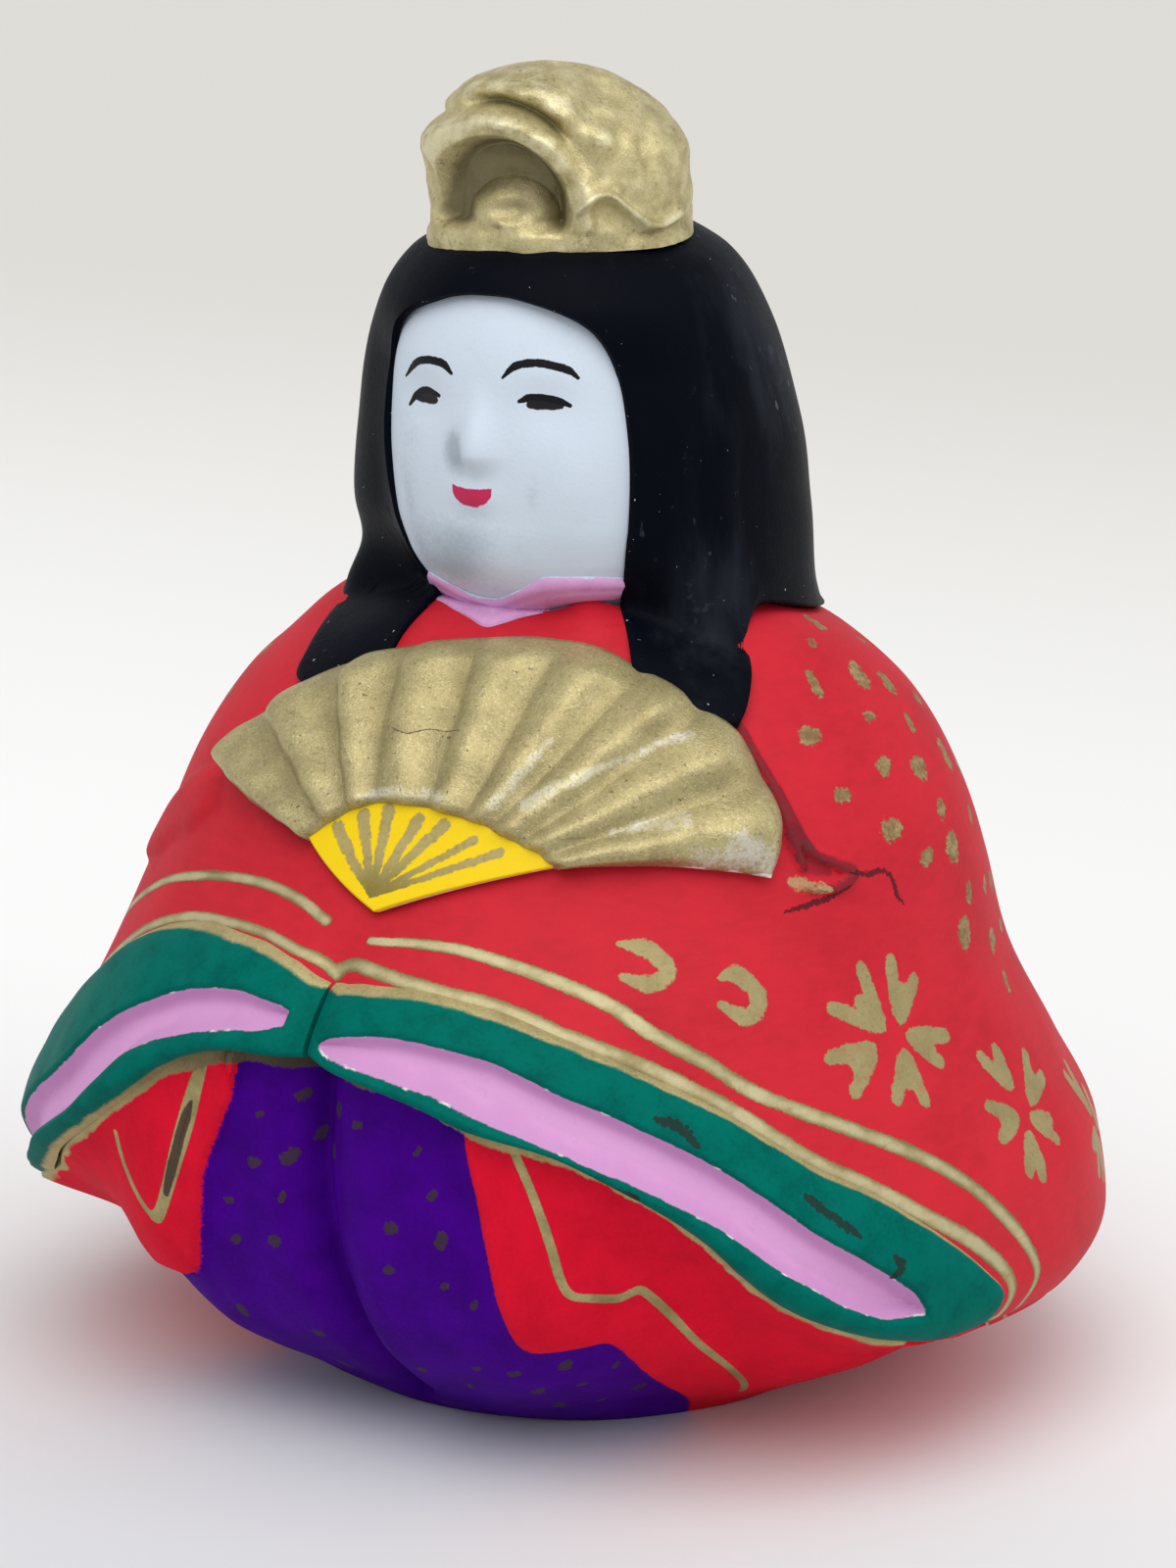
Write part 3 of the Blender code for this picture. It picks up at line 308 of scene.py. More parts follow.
# Petals: two lobes and the tip where their strokes meet
BLOSSOMS = (
    ((68.3, 33.4), (62.4, 31.5), (69.8, 29.5)), ((73.7, 33.4), (77.4, 31.8), (72.7, 29.6)),
    ((79.9, 28.0), (77.0, 26.7), (73.3, 28.8)), ((68.1, 25.5), (72.2, 24.9), (71.9, 28.0)),
    ((60.3, 28.7), (62.5, 26.5), (67.4, 28.7)),
    ((85.0, 26.0), (88.6, 26.0), (88.5, 23.5)), ((95.0, 24.8), (96.7, 23.1), (91.0, 22.2)),
    ((93.3, 20.9), (92.5, 19.7), (89.8, 21.4)), ((84.9, 18.8), (86.9, 18.2), (88.1, 20.8)),
    ((82.7, 23.2), (82.9, 21.2), (87.4, 21.9)),
    ((105.5, 21.6), (108.9, 21.8), (107.2, 18.6)), ((111.6, 19.6), (111.8, 17.2), (108.2, 17.8)),
    ((108.6, 14.0), (105.7, 14.6), (107.4, 17.0)), ((103.0, 15.4), (102.2, 17.4), (106.2, 17.8)),
)
CRESCENTS = (
    ((35.1, 36.4), (38.6, 36.1), (41.0, 34.9), (38.8, 34.2), (35.3, 34.6)),
    ((47.6, 34.2), (50.2, 34.3), (52.3, 32.8), (50.4, 31.8), (47.2, 32.7)),
)
SLIP_RIDGES = (
    ((58.9, 49.0), (59.4, 48.4), (59.8, 47.1), (61.2, 44.9), (61.7, 42.5), (62.0, 41.1), (62.5, 40.1)),
    ((61.7, 44.9), (62.6, 43.0), (64.2, 41.0), (67.6, 40.1), (70.2, 39.4), (67.0, 38.6), (62.4, 38.9)),
)
SLIP_HOLLOW = ((62.2, 42.6), (63.3, 40.9), (66.2, 39.6))
GOLD_SMEAR = ((60.4, 39.3), (62.6, 38.9), (65.4, 38.6))
CRACKS = (
    ((69.4, 39.5), (72.5, 39.0), (76.5, 38.8), (77.6, 37.2), (78.6, 36.5)),
    ((68.8, 38.6), (66.6, 38.2), (64.3, 37.9), (58.3, 37.5)),
)
HEM_SCUFFS = (
    ((37.8, 26.9), (40.2, 26.4), (41.9, 25.2)), ((52.7, 21.6), (55.0, 20.3), (57.9, 18.7)),
    ((32.5, 22.8), (34.0, 22.5), (35.6, 22.3)), ((61.6, 17.1), (62.3, 16.3), (61.5, 15.6)),
)
SLEEVE_FOLD = ((-60, 36.2), (-55.1, 38.5), (-49.8, 40.1), (-44.5, 40.6))

# Brushwork on the lower body
HAKAMA_DOTS = (
    (-4.9, 25.7), (-9.8, 24.1), (-3.9, 22.9), (-10.7, 20.7), (-6.2, 21.5), (-1.4, 22.0), (-15.3, 17.5),
    (-7.4, 18.6), (-15.6, 14.6), (-9.4, 15.2), (0.3, 25.2), (3.9, 24.7), (11.8, 23.7), (13.6, 20.9), (8.2, 18.1),
    (14.5, 17.9), (7.3, 15.0), (14.6, 14.6), (18.0, 13.5), (-8.9, 7.7), (-14.5, 3.6), (6.9, 6.3), (16.7, 7.8),
    (13.6, 5.2), (21.7, 7.6), (24.2, 5.6), (28.2, 8.3), (30.4, 6.1), (34.9, 7.8), (33.8, 3.4), (39.7, 4.6),
    (-20.4, 8.4), (-24.0, 5.0), (-29.6, 7.4), (-33.0, 4.0), (-38.6, 5.4), (26.6, 3.2),
)
ZIGZAGS = (
    (
        (22.2, 26.6), (23.1, 24.7), (24.9, 21.9), (26.7, 18.5), (27.9, 15.7), (29.0, 14.6), (30.8, 14.3),
        (34.3, 14.1), (36.0, 14.5), (37.2, 14.5), (40.3, 12.7), (44.7, 9.9), (50.2, 7.2), (55.4, 4.7), (58.0, 3.2),
    ),
    (
        (-16.5, 26.9), (-18.4, 22.8), (-20.5, 19.6), (-23.0, 16.6), (-24.6, 15.2), (-26.0, 15.1),
    ),
    (
        (-17.4, 26.4), (-18.1, 25.5), (-20.3, 21.9), (-22.8, 17.6), (-25.2, 15.4), (-27.7, 16.0), (-30.4, 18.1),
        (-30.8, 20.4),
    ),
)
OPENING = ((-18.2, 24.3), (-19.5, 22.4), (-20.8, 20.2), (-22.7, 17.3))

# Face. The relief, and the painted shade beside the nose, below the mouth, on the chin and the lower left cheek with
# one grey scuff, are rows for mounds().
NOSE_SLOPE, NOSE_FOOT, NOSE_PROUD = (70.5, 65.6), (63.2, 65.4), 1.1
FACE_RELIEF = (
    (-0.28, -20, 9, 68.4, 1.7), (-0.28, 20, 9, 68.4, 1.7),  # sockets
    (0.16, -20, 12, 71.0, 1.3), (0.16, 20, 12, 71.0, 1.3),  # brows
    (0.3, -24, 10, 63.5, 3.4), (0.3, 26, 10, 63.5, 3.4),  # cheeks
    (0.3, -0.5, 7, 62.5, 1.0), (-0.14, -0.5, 5, 60.9, 0.7),  # mouth and the dip below it
    (0.35, -0.5, 9, 58.6, 1.6),  # chin
)
SHADE_AND_SCUFF = (
    (1.3, -6, 4.5, 65.4, 1.7), (0.4, 17, 2.6, 62.6, 1.9), (0.8, -4, 12, 59.6, 1.7), (0.5, -26, 6, 61, 5),
    (0.9, -12, 14, 57.2, 1.6),
)
BROWS = (
    ((-29.6, 69.6), (-23.5, 70.7), (-17.7, 71.05), (-11.9, 70.95), (-8.6, 70.4)),
    ((7.8, 70.4), (11.4, 71.2), (17.0, 71.45), (22.1, 71.3), (26.6, 71.0), (29.4, 70.5)),
)
LIDS = (
    ((-26.8, 67.8), (-23.6, 68.6), (-19.1, 69.0), (-13.2, 68.8)),
    ((12.7, 68.9), (16.3, 69.2), (22.3, 69.1), (27.2, 68.7)),
)
EYES = (((-23.3, 68.4), (-18.9, 68.5), (-14.7, 68.45)), ((15.7, 68.7), (19.8, 68.75), (24.5, 68.7)))
LIPS_MIDDLE, LIPS_REACH, LIPS_TOP, LIPS_DEPTH = -0.8, 6.5, 63.1, 1.4

# Colours of the paints, as linear values
RED, RED_DEEP = (0.61, 0.013, 0.028), (0.45, 0.008, 0.018)
SKIRT_RED, SKIRT_RED_DEEP = (0.76, 0.008, 0.032), (0.56, 0.006, 0.022)
GREEN, GREEN_DEEP = (0.0, 0.145, 0.112), (0.0, 0.088, 0.070)
PINK, PINK_DEEP = (0.68, 0.35, 0.62), (0.47, 0.21, 0.44)
PURPLE, PURPLE_DEEP = (0.066, 0.0, 0.27), (0.036, 0.0, 0.15)
FACE_WHITE, FACE_GREY = (0.63, 0.71, 0.79), (0.35, 0.40, 0.45)
PRIMER = (0.78, 0.77, 0.74)
BLACK, BLACK_DUST_AND_SHEEN = (0.001, 0.002, 0.005), (0.028, 0.033, 0.044)
GOLD, GOLD_LIGHT, GOLD_DARK = (0.50, 0.42, 0.19), (0.82, 0.76, 0.50), (0.19, 0.145, 0.055)
YELLOW, YELLOW_DEEP, OLIVE = (0.86, 0.60, 0.0), (0.62, 0.40, 0.0), (0.10, 0.08, 0.015)
CLAY, CLAY_DARK = (0.48, 0.29, 0.18), (0.33, 0.18, 0.10)
MAROON, UMBER = (0.16, 0.004, 0.014), (0.055, 0.036, 0.03)
WALL_CREAM, FLOOR_CREAM, FLOOR_NEAR = (0.66, 0.645, 0.595), (0.88, 0.88, 0.86), (0.67, 0.68, 0.69)
# The crown's hollow colour is painted shade; the fan leaf's light colour is partly painted highlight.
CROWN_BRIGHT, CROWN_PAINTED_SHADE, LEAF_HIGHLIGHT_AND_WEAR = (0.80, 0.70, 0.38), (0.13, 0.105, 0.04), (0.82, 0.74, 0.44)
CRACK_DARK, SCUFF_DARK, SCRATCH_GREY = (0.07, 0.004, 0.008), (0.02, 0.03, 0.025), (0.12, 0.14, 0.17)
EYE_BROWN, INK, LIP_RED = (0.012, 0.010, 0.010), (0.003, 0.003, 0.004), (0.56, 0.022, 0.09)

# Studio: each lamp's azimuth, elevation, spread in degrees, strength and colour
LAMPS = (("window", 15, 62, 55, 1.36, (1.0, 0.99, 0.98)), ("side", 85, 45, 60, 0.66, (0.97, 0.98, 1.0)))
LAMP_DISTANCE, FLOOR_SIZE = 0.6, 6
ROOM_LIGHT, ROOM_STRENGTH = (0.95, 0.96, 1.0), 0.62


def either_side(edges, angle):
    """Height of an edge that differs between the doll's left and right, in metres."""
    return np.where(angle > 0, edges[1](angle), edges[-1](-angle)) * MM


def ellipse_radius(angle, across, along):
    turn = np.radians(angle)
    return 1 / np.sqrt((np.sin(turn) / across) ** 2 + (np.cos(turn) / along) ** 2)


def lean(angle, distance):
    """Lean of the hand-pressed figure to its right, as a change of radius."""
    return -distance * np.cos(np.radians(angle - LEAN_ANGLE))


def robe_radius(angle, height):
    share = height / ROBE_HEIGHT
    across = ROBE_RADIUS * side_share(share)
    along = np.where(np.cos(np.radians(angle)) > 0, ROBE_RADIUS * front_share(share), across * BACK_DEPTH_SHARE)
    crease = CREASE_DEPTH * hump(angle, CREASE_ANGLE, CREASE_WIDTH) * (1 - smooth_step(*CREASE_FADE, share))
    leaning = lean(angle, ROBE_LEAN * (1 - smooth_step(*NECK_FADE, share)))
    return ellipse_radius(angle, across, along) - crease + leaning


def behind_hem(edge, angle, start):
    """Follow an edge of the hem to its end and then go over to the robe's rim, which falls to the back."""
    rim = RIM_HEIGHT + RIM_RISE * smooth_step(RIM_LEVEL_ANGLE, HEM_END, np.abs(angle))
    return edge + (rim - edge) * smooth_step(start, start + HEM_WRAP, np.abs(angle))


def bowl_top(angle):
    return behind_hem(either_side(hem_low, angle), angle, BOWL_WRAP_ANGLE)


def bowl_radius(angle, height):
    top = bowl_top(angle)
    beside = smooth_step(*BOWL_SIDE_ANGLES, np.abs(angle))
    rim = robe_radius(angle, top) - FRONT_OVERHANG - (SIDE_OVERHANG - FRONT_OVERHANG) * beside
    share = bowl_share(height / top) * (1 - beside) + bowl_side_share(height / top) * beside
    return FOOT_RADIUS + (rim - FOOT_RADIUS) * share


def head_lean(angle, share):
    return lean(angle, HEAD_LEAN * smooth_step(0.3, 0.8, share) * (1 - smooth_step(0.9, 1, share)))


def face_radius(angle, height):
    share = (height - ROBE_HEIGHT) / HEAD_HEIGHT
    depth = HEAD_DEPTH * face_share(share)
    return ellipse_radius(angle, depth * FACE_BREADTH_SHARE, depth) + head_lean(angle, share)


def hair_radius(angle, height):
    """Hair over the head and, below it, over the shoulders, with a soft bend between the two."""
    share = (height - ROBE_HEIGHT) / HEAD_HEIGHT
    full = HEAD_DEPTH * hair_share(share) + head_lean(angle, share)
    beside_face = (1 - smooth_step(*HAIR_FULL_ANGLES, np.abs(angle))) * (1 - smooth_step(*FOREHEAD, share))
    head = full - beside_face * np.maximum(0, full - face_radius(angle, height) - HAIR_EDGE)
    head = head - mounds(HAIR_WAIST, angle, height)
    shoulder = robe_radius(angle, np.minimum(height, ROBE_HEIGHT)) + LOCK_PROUD
    shoulder = shoulder - 3 * np.maximum(0, height - ROBE_HEIGHT) - SHOULDER_HOLLOW * hump(np.abs(angle), 112, 20)
    return (head + shoulder + np.sqrt((head - shoulder) ** 2 + LOCK_BLEND**2)) / 2


def place(angle, radius, height):
    turn = np.radians(angle)
    return np.stack((radius * np.sin(turn), -radius * np.cos(turn), height + 0 * turn), axis=-1)


def trace(points, radius, fineness=6):
    """Path of a brush over a form, smoothly through its points of (angle, height)."""
    spots = np.array(points, dtype=float)
    spots = np.vstack((2 * spots[0] - spots[1], spots, 2 * spots[-1] - spots[-2]))
    t = np.linspace(0, 1, fineness, endpoint=False)[:, None]
    path = []
    for before, start, end, after in zip(spots, spots[1:], spots[2:], spots[3:]):
        bend = 2 * before - 5 * start + 4 * end - after
        path.append(start + ((end - before) * t + bend * t**2 + (3 * start - before - 3 * end + after) * t**3) / 2)
    angle, height = np.vstack(path + [spots[-2:-1]]).T
    return place(angle, radius(angle, height * MM), height * MM)


def stroke(points, radius, start, middle, end):
    """A brush stroke: its path and its half width along it, given in millimetres."""
    path = trace(points, radius)
    widths = np.interp(np.linspace(0, 1, len(path)), (0, 0.2, 0.8, 1), (start, middle, middle, end))
    return path, widths * MM


def dabs(points, radius, width, round_reach, up_reach):
    """Short dabs of a brush at points of (angle, height), each a little different."""
    strokes = []
    for k, (angle, height) in enumerate(points):
        size, tilt = width * (0.85 + 0.3 * math.sin(k * 5.1)), 0.75 * math.sin(k * 2.4)
        reach = (round_reach + tilt * up_reach, up_reach - tilt * round_reach * 0.5)
        ends = ((angle - reach[0], height - reach[1]), (angle + reach[0], height + reach[1]))
        strokes.append(stroke(ends, radius, size, size * 0.9, size * 0.75))
    return strokes


def petal_strokes(petal):
    """A petal is two strokes from its lobes to its tip with a third between them."""
    *lobes, tip = petal
    middle = [(lobes[0][k] + lobes[1][k]) * 0.3 + tip[k] * 0.4 for k in range(2)]
    strokes = [stroke((lobe, tip), robe_radius, 0.55, 0.64, 0.22) for lobe in lobes]
    return strokes + [stroke((middle, tip), robe_radius, 0.7, 0.55, 0.2)]


def brushed(places, strokes):
    """Cover of the nearest stroke at each place: 1 along its middle, 0 at its edge, less beyond."""
    cover = np.full(len(places), UNPAINTED)
    for path, widths in strokes:
        reach = 3 * widths.max()
        near = np.all((places > path.min(axis=0) - reach) & (places < path.max(axis=0) + reach), axis=1)
        spots = places[near]
        best = np.full(len(spots), UNPAINTED)
        for start, end, wide, narrow in zip(path, path[1:], widths, widths[1:]):
            step = end - start
            along = np.clip((spots - start) @ step / (step @ step), 0, 1)
            gap = np.linalg.norm(spots - start - along[:, None] * step, axis=1)
            best = np.maximum(best, 1 - (gap / (wide + (narrow - wide) * along)) ** 2)
        cover[near] = np.maximum(cover[near], best)
    return cover


def traced(places, lines, radius, *widths):
    """Cover of strokes that share their half widths at the start, the middle and the end."""
    return brushed(places, [stroke(line, radius, *widths) for line in lines])


def distance_from(places, path):
    """Distance from a path, in millimetres."""
    return np.sqrt(1 - brushed(places, [(path, np.full(len(path), 1 * MM))]))


def uneven(places, size, depth):
    """Unevenness of clay worked by hand, in and out over lumps of this size."""
    return depth * np.array([noise.noise(Vector(spot) / size) for spot in places])


def around_doll(u, start, end, share=0.1):
    """Angle round the doll, where all but a share of the grid at each side lies between start and end."""
    return np.interp(u, (0, share, 1 - share, 1), (-180, start, end, 180))


def up_and_back(v, start, top):
    """Which rows of a wall's grid are its outside, and their rise there and back down the inside."""
    outside = v <= top
    return outside, np.where(outside, np.clip((v - start) / (top - start), 0, 1), np.clip((1 - v) / (1 - top), 0, 1))


def press(name, grid, form):
    """Press a fine grid onto a form, weld where it closes, and keep the form's marks at its points."""
    bpy.ops.object.select_all(action="DESELECT")
    bpy.ops.mesh.primitive_grid_add(x_subdivisions=grid[0], y_subdivisions=grid[1], size=1)
    piece = bpy.context.object
    piece.name = piece.data.name = name
    mesh = piece.data
    flat = np.empty(len(mesh.vertices) * 3)
    mesh.vertices.foreach_get("co", flat)
    places, marks = form(np.clip(flat[0::3] + 0.5, 0, 1), np.clip(flat[1::3] + 0.5, 0, 1))
    mesh.vertices.foreach_set("co", places.ravel())
    for mark, amounts in marks.items():
        mesh.attributes.new(mark, "FLOAT", "POINT").data.foreach_set("value", amounts.astype(float))
    mesh.update()
    bpy.ops.object.mode_set(mode="EDIT")
    bpy.ops.mesh.select_all(action="SELECT")
    bpy.ops.mesh.remove_doubles(threshold=WELD)
    bpy.ops.mesh.normals_make_consistent(inside=False)
    bpy.ops.object.mode_set(mode="OBJECT")
    bpy.ops.object.shade_smooth_by_angle(angle=math.radians(SHARP_ANGLE))
    return piece


def mould(name, grid, form, finish, slot, *nodes, clay=None):
    """Press a piece, give an open sheet its clay inwards, and paint it. It stands for its plain solids."""
    piece = press(name, grid, form)
    if clay:
        wall = piece.modifiers.new("clay", "SOLIDIFY")
        wall.thickness, wall.offset = clay, -1
        bpy.ops.object.modifier_apply(modifier=wall.name)
    piece.data.materials.clear()
    piece.data.materials.append(finish)
    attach(piece, "root")
    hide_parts(*nodes)


def mould_robe(finish):
    """Outer robe, with its sleeves, as one hollow wall open below."""

    def form(u, v):
        angle = around_doll(u, -75, 115, 0.12)
        low = behind_hem(either_side(hem_top, angle) - ROBE_UNDER_HEM, angle, HEM_END - 0.6)
        outside, rise = up_and_back(v, *ROBE_ROWS)
        rolled = np.radians(90 * np.clip(1 - v / ROBE_ROWS[0], 0, 1))
        height = low + RIM_ROUND * (1 - np.sin(rolled)) + (ROBE_HEIGHT - low - RIM_ROUND) * rise
        spots = place(angle, robe_radius(angle, height), height)
        lift = SHOULDER_RISE * hump(np.abs(angle), 78, 26) * smooth_step(49 * MM, 53.5 * MM, height)
        lift = lift + FRONT_RISE * hump(angle, 33, 9) * smooth_step(50 * MM, 54 * MM, height)
        lines = [stroke(points, robe_radius, *widths) for widths, points in GOLD_LINES]
        petals = [part for petal in BLOSSOMS for part in petal_strokes(petal)]
        petals += [stroke(bow, robe_radius, 0.25, 0.68, 0.35) for bow in CRESCENTS]
        dots = dabs(SHOULDER_DOTS, robe_radius, 0.85, 0.6, 0.2) + dabs(SLEEVE_DOTS_RIGHT, robe_radius, 0.8, 0.6, 0.2)
        slip = traced(spots, SLIP_RIDGES, robe_radius, 0.3, 0.42, 0.3)
        fold = traced(spots, [SLEEVE_FOLD], robe_radius, 1.5, 2.2, 1.2)
        relief = SLIP_PROUD * smooth_step(-0.6, 1, slip) + FOLD_PROUD * smooth_step(-0.8, 1, fold)
        relief = np.where(outside, relief + uneven(spots, 9 * MM, 0.28 * MM), 0)
        radius = robe_radius(angle, height) + relief - RIM_ROUND * (1 - np.cos(rolled))
        inner = np.where(v > LAST, radius - RIM_ROUND, robe_radius(angle, height) - CLAY_WALL)
        height = np.where(v > LAST, low, height)
        marks = {
            "lines": brushed(spots, lines),
            "petals": brushed(spots, petals),
            "dots": brushed(spots, dots),
            "slip": slip,
            "slip_hollow": traced(spots, [SLIP_HOLLOW], robe_radius, 0.4, 0.9, 0.4),
            "smear": traced(spots, [GOLD_SMEAR], robe_radius, 0.35, 0.6, 0.3),
            "cracks": traced(spots, CRACKS, robe_radius, 0.15, 0.25, 0.1),
        }
        return place(angle, np.where(outside, radius, inner), height + lift), marks

    mould("robe", (560, 160), form, finish, "red", "sleeve_left", "sleeve_right", "robe_back", "robe_chest")


def mould_hem(name, side, finish, *nodes):
    """Rolled hem of one sleeve with the groove of its lining."""

    def form(u, v):
        crease = CREASE_ANGLE * side
        turn = crease + (HEM_END - crease) * np.sin(np.radians(90 * u)) ** 0.93
        angle = side * turn
        low, high = hem_low[side](turn) * MM, hem_top[side](turn) * MM
        outside, share = up_and_back(v, *HEM_ROWS)
        height = low + (high - low) * share
        lined = np.minimum(height - lining_low[side](turn) * MM, lining_top[side](turn) * MM - height) / MM
        lined = np.minimum(lined, LINING_OUTER_TAPER * (LINING_END - turn))
        lined = np.minimum(lined, LINING_INNER_TAPER * (turn - LINING_START[side]))
        narrow = smooth_step(0, 4 * MM, high - low)
        groove = GROOVE_DEPTH * smooth_step(-0.5, 1.2, lined)
        into_crease = 0.5 * MM * hump(turn, crease, 1.4)
        radius = robe_radius(angle, height) + hem_roll(share) * MM * (0.4 + 0.6 * narrow) - groove - into_crease
        radius = np.where(outside, radius, robe_radius(angle, height) - CLAY_WALL * (0.5 + 0.5 * narrow))
        closing = (u < 1 - LAST) | (u > LAST)
        radius = np.where(closing, robe_radius(angle, (low + high) / 2) - HEM_END_SUNK, radius)
        height = np.where(closing, (low + high) / 2, height)
        spots = place(angle, radius, height)
        radius = radius + np.where(outside & ~closing, uneven(spots, 5 * MM, 0.16 * MM), 0)
        painted = place(angle, robe_radius(angle, height), height)
        marks = {
            "lined": np.where(outside, lined, -3),
            "from_top": (high - height) / MM,
            "from_low": (height - low) / MM + (1 - side) * smooth_step(66, 72, turn),
            # Painted shade: where the line under the hem turns umber at the front
            "middle": hump(angle, *HEM_FRONT_SHADE),
            "scuffs": traced(painted, HEM_SCUFFS, robe_radius, 0.25, 0.4, 0.2),
        }
        return place(angle, radius, height), marks

    mould(name, (560, 100), form, finish, "green", *nodes)


def mould_skirt(finish):
    """Lower body: pleated hakama in front with the under robe laid over it at both sides."""

    def form(u, v):
        angle = around_doll(u, -70, 80)
        beside = smooth_step(50, 60, np.abs(angle))
        top = bowl_top(angle) + (0.8 + 1.4 * beside) * MM
        outside, rise = up_and_back(v, *SKIRT_ROWS)
        height = top * rise
        base = bowl_radius(angle, np.minimum(height, bowl_top(angle)))
        base = base + SKIRT_FLARE * beside * smooth_step(-2.5 * MM, 0.2 * MM, height - bowl_top(angle))
        spots = place(angle, base, height)
        from_edge = distance_from(spots, trace(UNDER_ROBE_EDGE, bowl_radius, 4))
        within = np.where(height < under_robe_edge(angle) * MM, from_edge, -from_edge)
        pleat = distance_from(spots, trace(PLEAT, bowl_radius))
        valley = 1.15 * hump(pleat, 0, 0.75) + 0.75 * hump(pleat, 0, 2.4)
        relief = -UNDER_ROBE_PROUD * smooth_step(-0.35, 0.45, within) - valley * MM * smooth_step(-0.5, 1.5, within)
        relief = relief * smooth_step(0, 3 * MM, height) + uneven(spots, 7 * MM, 0.2 * MM)
        radius = np.where(outside, base + relief, np.maximum(FOOT_INNER, base - CLAY_WALL))
        foot = np.clip(1 - v / SKIRT_ROWS[0], 0, 1)
        radius = np.where(v < SKIRT_ROWS[0], FOOT_RADIUS + (FOOT_INNER - FOOT_RADIUS) * foot, radius)
        radius = np.where(v > LAST, FOOT_INNER, radius)
        marks = {
            "hakama": within,
            "dots": brushed(spots, dabs(HAKAMA_DOTS, bowl_radius, 0.5, 0.3, 0.16)),
            "zigzag": traced(spots, ZIGZAGS, bowl_radius, 0.3, 0.36, 0.26),
            "opening": traced(spots, [OPENING], bowl_radius, 0.15, 0.5, 0.3),
            "under_hem": (bowl_top(angle) - height) / MM + 3 * smooth_step(64, 70, np.abs(angle)),
            # Painted shade: where the line under the hem widens and turns umber at the front
            "middle": hump(angle, *HEM_FRONT_SHADE),
        }
        return place(angle, radius, height), marks

    mould("skirt", (560, 160), form, finish, "red", "under_robe", "hakama")


def lip_cover(angle, level):
    """Cover of the painted lips, straight along the top and full below: 0 at the edge, more inside."""
    across = (angle - LIPS_MIDDLE) / LIPS_REACH
    low = LIPS_TOP - LIPS_DEPTH * np.clip(1 - across**2, 0, 1) ** 0.45
    inside = np.minimum(LIPS_TOP + 0.16 * np.minimum(across**2, 1) - 0.06 - level, level - low)
    return 3 * np.minimum(inside, 1.9 * (1 - np.abs(across)))


def mould_head(finish):
    """Head with the face's soft relief."""

    def form(u, v):
        angle = around_doll(u, -54, 54)
        low, top = ROBE_HEIGHT - 1.5 * MM, ROBE_HEIGHT + 0.926 * HEAD_HEIGHT
        rise = np.clip((v - NECK_ROWS) / (1 - NECK_ROWS), 0, 1)
        height = low + (top - low) * (1 - (1 - rise) ** 1.25)
        level = height / MM
        base = face_radius(angle, height)
        spots = place(angle, base, height)
        bridge = smooth_step(*NOSE_SLOPE, level) * smooth_step(*NOSE_FOOT, level)
        nose = NOSE_PROUD * bridge**1.3 * hump(angle, 1.0, 3.6 + 1.6 * bridge)
        relief = (nose + mounds(FACE_RELIEF, angle, level)) * MM
        radius = np.where(v > LAST, 0, base + relief) * np.clip(v / NECK_ROWS, 0, 1)
        marks = {
            "brows": traced(spots, BROWS, face_radius, 0.1, 0.3, 0.14),
            "lids": traced(spots, LIDS, face_radius, 0.14, 0.27, 0.16),
            "eyes": traced(spots, EYES, face_radius, 0.26, 0.4, 0.26),
            "lips": lip_cover(angle, level),
            "smudges": mounds(SHADE_AND_SCUFF, angle, level),
        }
        return place(angle, radius, height), marks

    mould("head_moulded", (330, 290), form, finish, "white", "head")


def mould_hair(finish):
    """Hair over the head, its side locks and the tress down the back."""
    border = np.array(HAIR_BORDER, dtype=float)
    for _ in range(BORDER_ROUNDINGS):
        corners = np.stack((0.75 * border[:-1] + 0.25 * border[1:], 0.25 * border[:-1] + 0.75 * border[1:]), axis=1)
        border = np.vstack((border[:1], corners.reshape(-1, 3), border[-1:]))
    lengths = np.hypot(np.diff(border[:, 0]) * MM_A_DEGREE, np.diff(border[:, 1]))
    reached = np.concatenate(([0], np.cumsum(lengths))) / lengths.sum()

    def form(u, v):
        start, low, end = (np.interp(u, reached, column) for column in border.T)
        rise = 1 - (1 - v) ** 1.6
        angle = start + (end - start) * np.minimum(rise**0.72, 1.6 * rise)
        height = low * MM + (ROBE_HEIGHT + HEAD_HEIGHT - low * MM) * rise
        radius = hair_radius(angle, height)
        radius = radius + uneven(place(angle, radius, height), 6 * MM, 0.22 * MM) * smooth_step(1, 0.8, v)
        radius = radius - (0.1 + 0.4 * smooth_step(54, 58, low)) * MM * smooth_step(0.03, 0, v)
        marks = {"from_edge": v * 30, "dust": mounds(HAIR_DUST_AND_SHEEN, angle, height / MM)}
        return place(angle, np.where(v > LAST, 0, radius), height), marks

    mould("hair_moulded", (480, 96), form, finish, "black", "hair", clay=HAIR_CLAY)


def dome_height(x, y, halvings=24):
    """Height of the hair under a point of the crown."""
    radius, angle = np.hypot(x, y), np.degrees(np.arctan2(x, -y))
    low, high = np.full_like(radius, ROBE_HEIGHT + HEAD_HEIGHT / 2), np.full_like(radius, ROBE_HEIGHT + HEAD_HEIGHT)
    for _ in range(halvings):
        middle = (low + high) / 2
        outside = hair_radius(angle, middle) > radius
        low, high = np.where(outside, middle, low), np.where(outside, high, middle)
    return high


def oval(across, level, x, z, breadth, height):
    """Distance from the middle of an oval, 1 at its outline."""
    return np.hypot((across - x) / breadth, (level - z) / height)


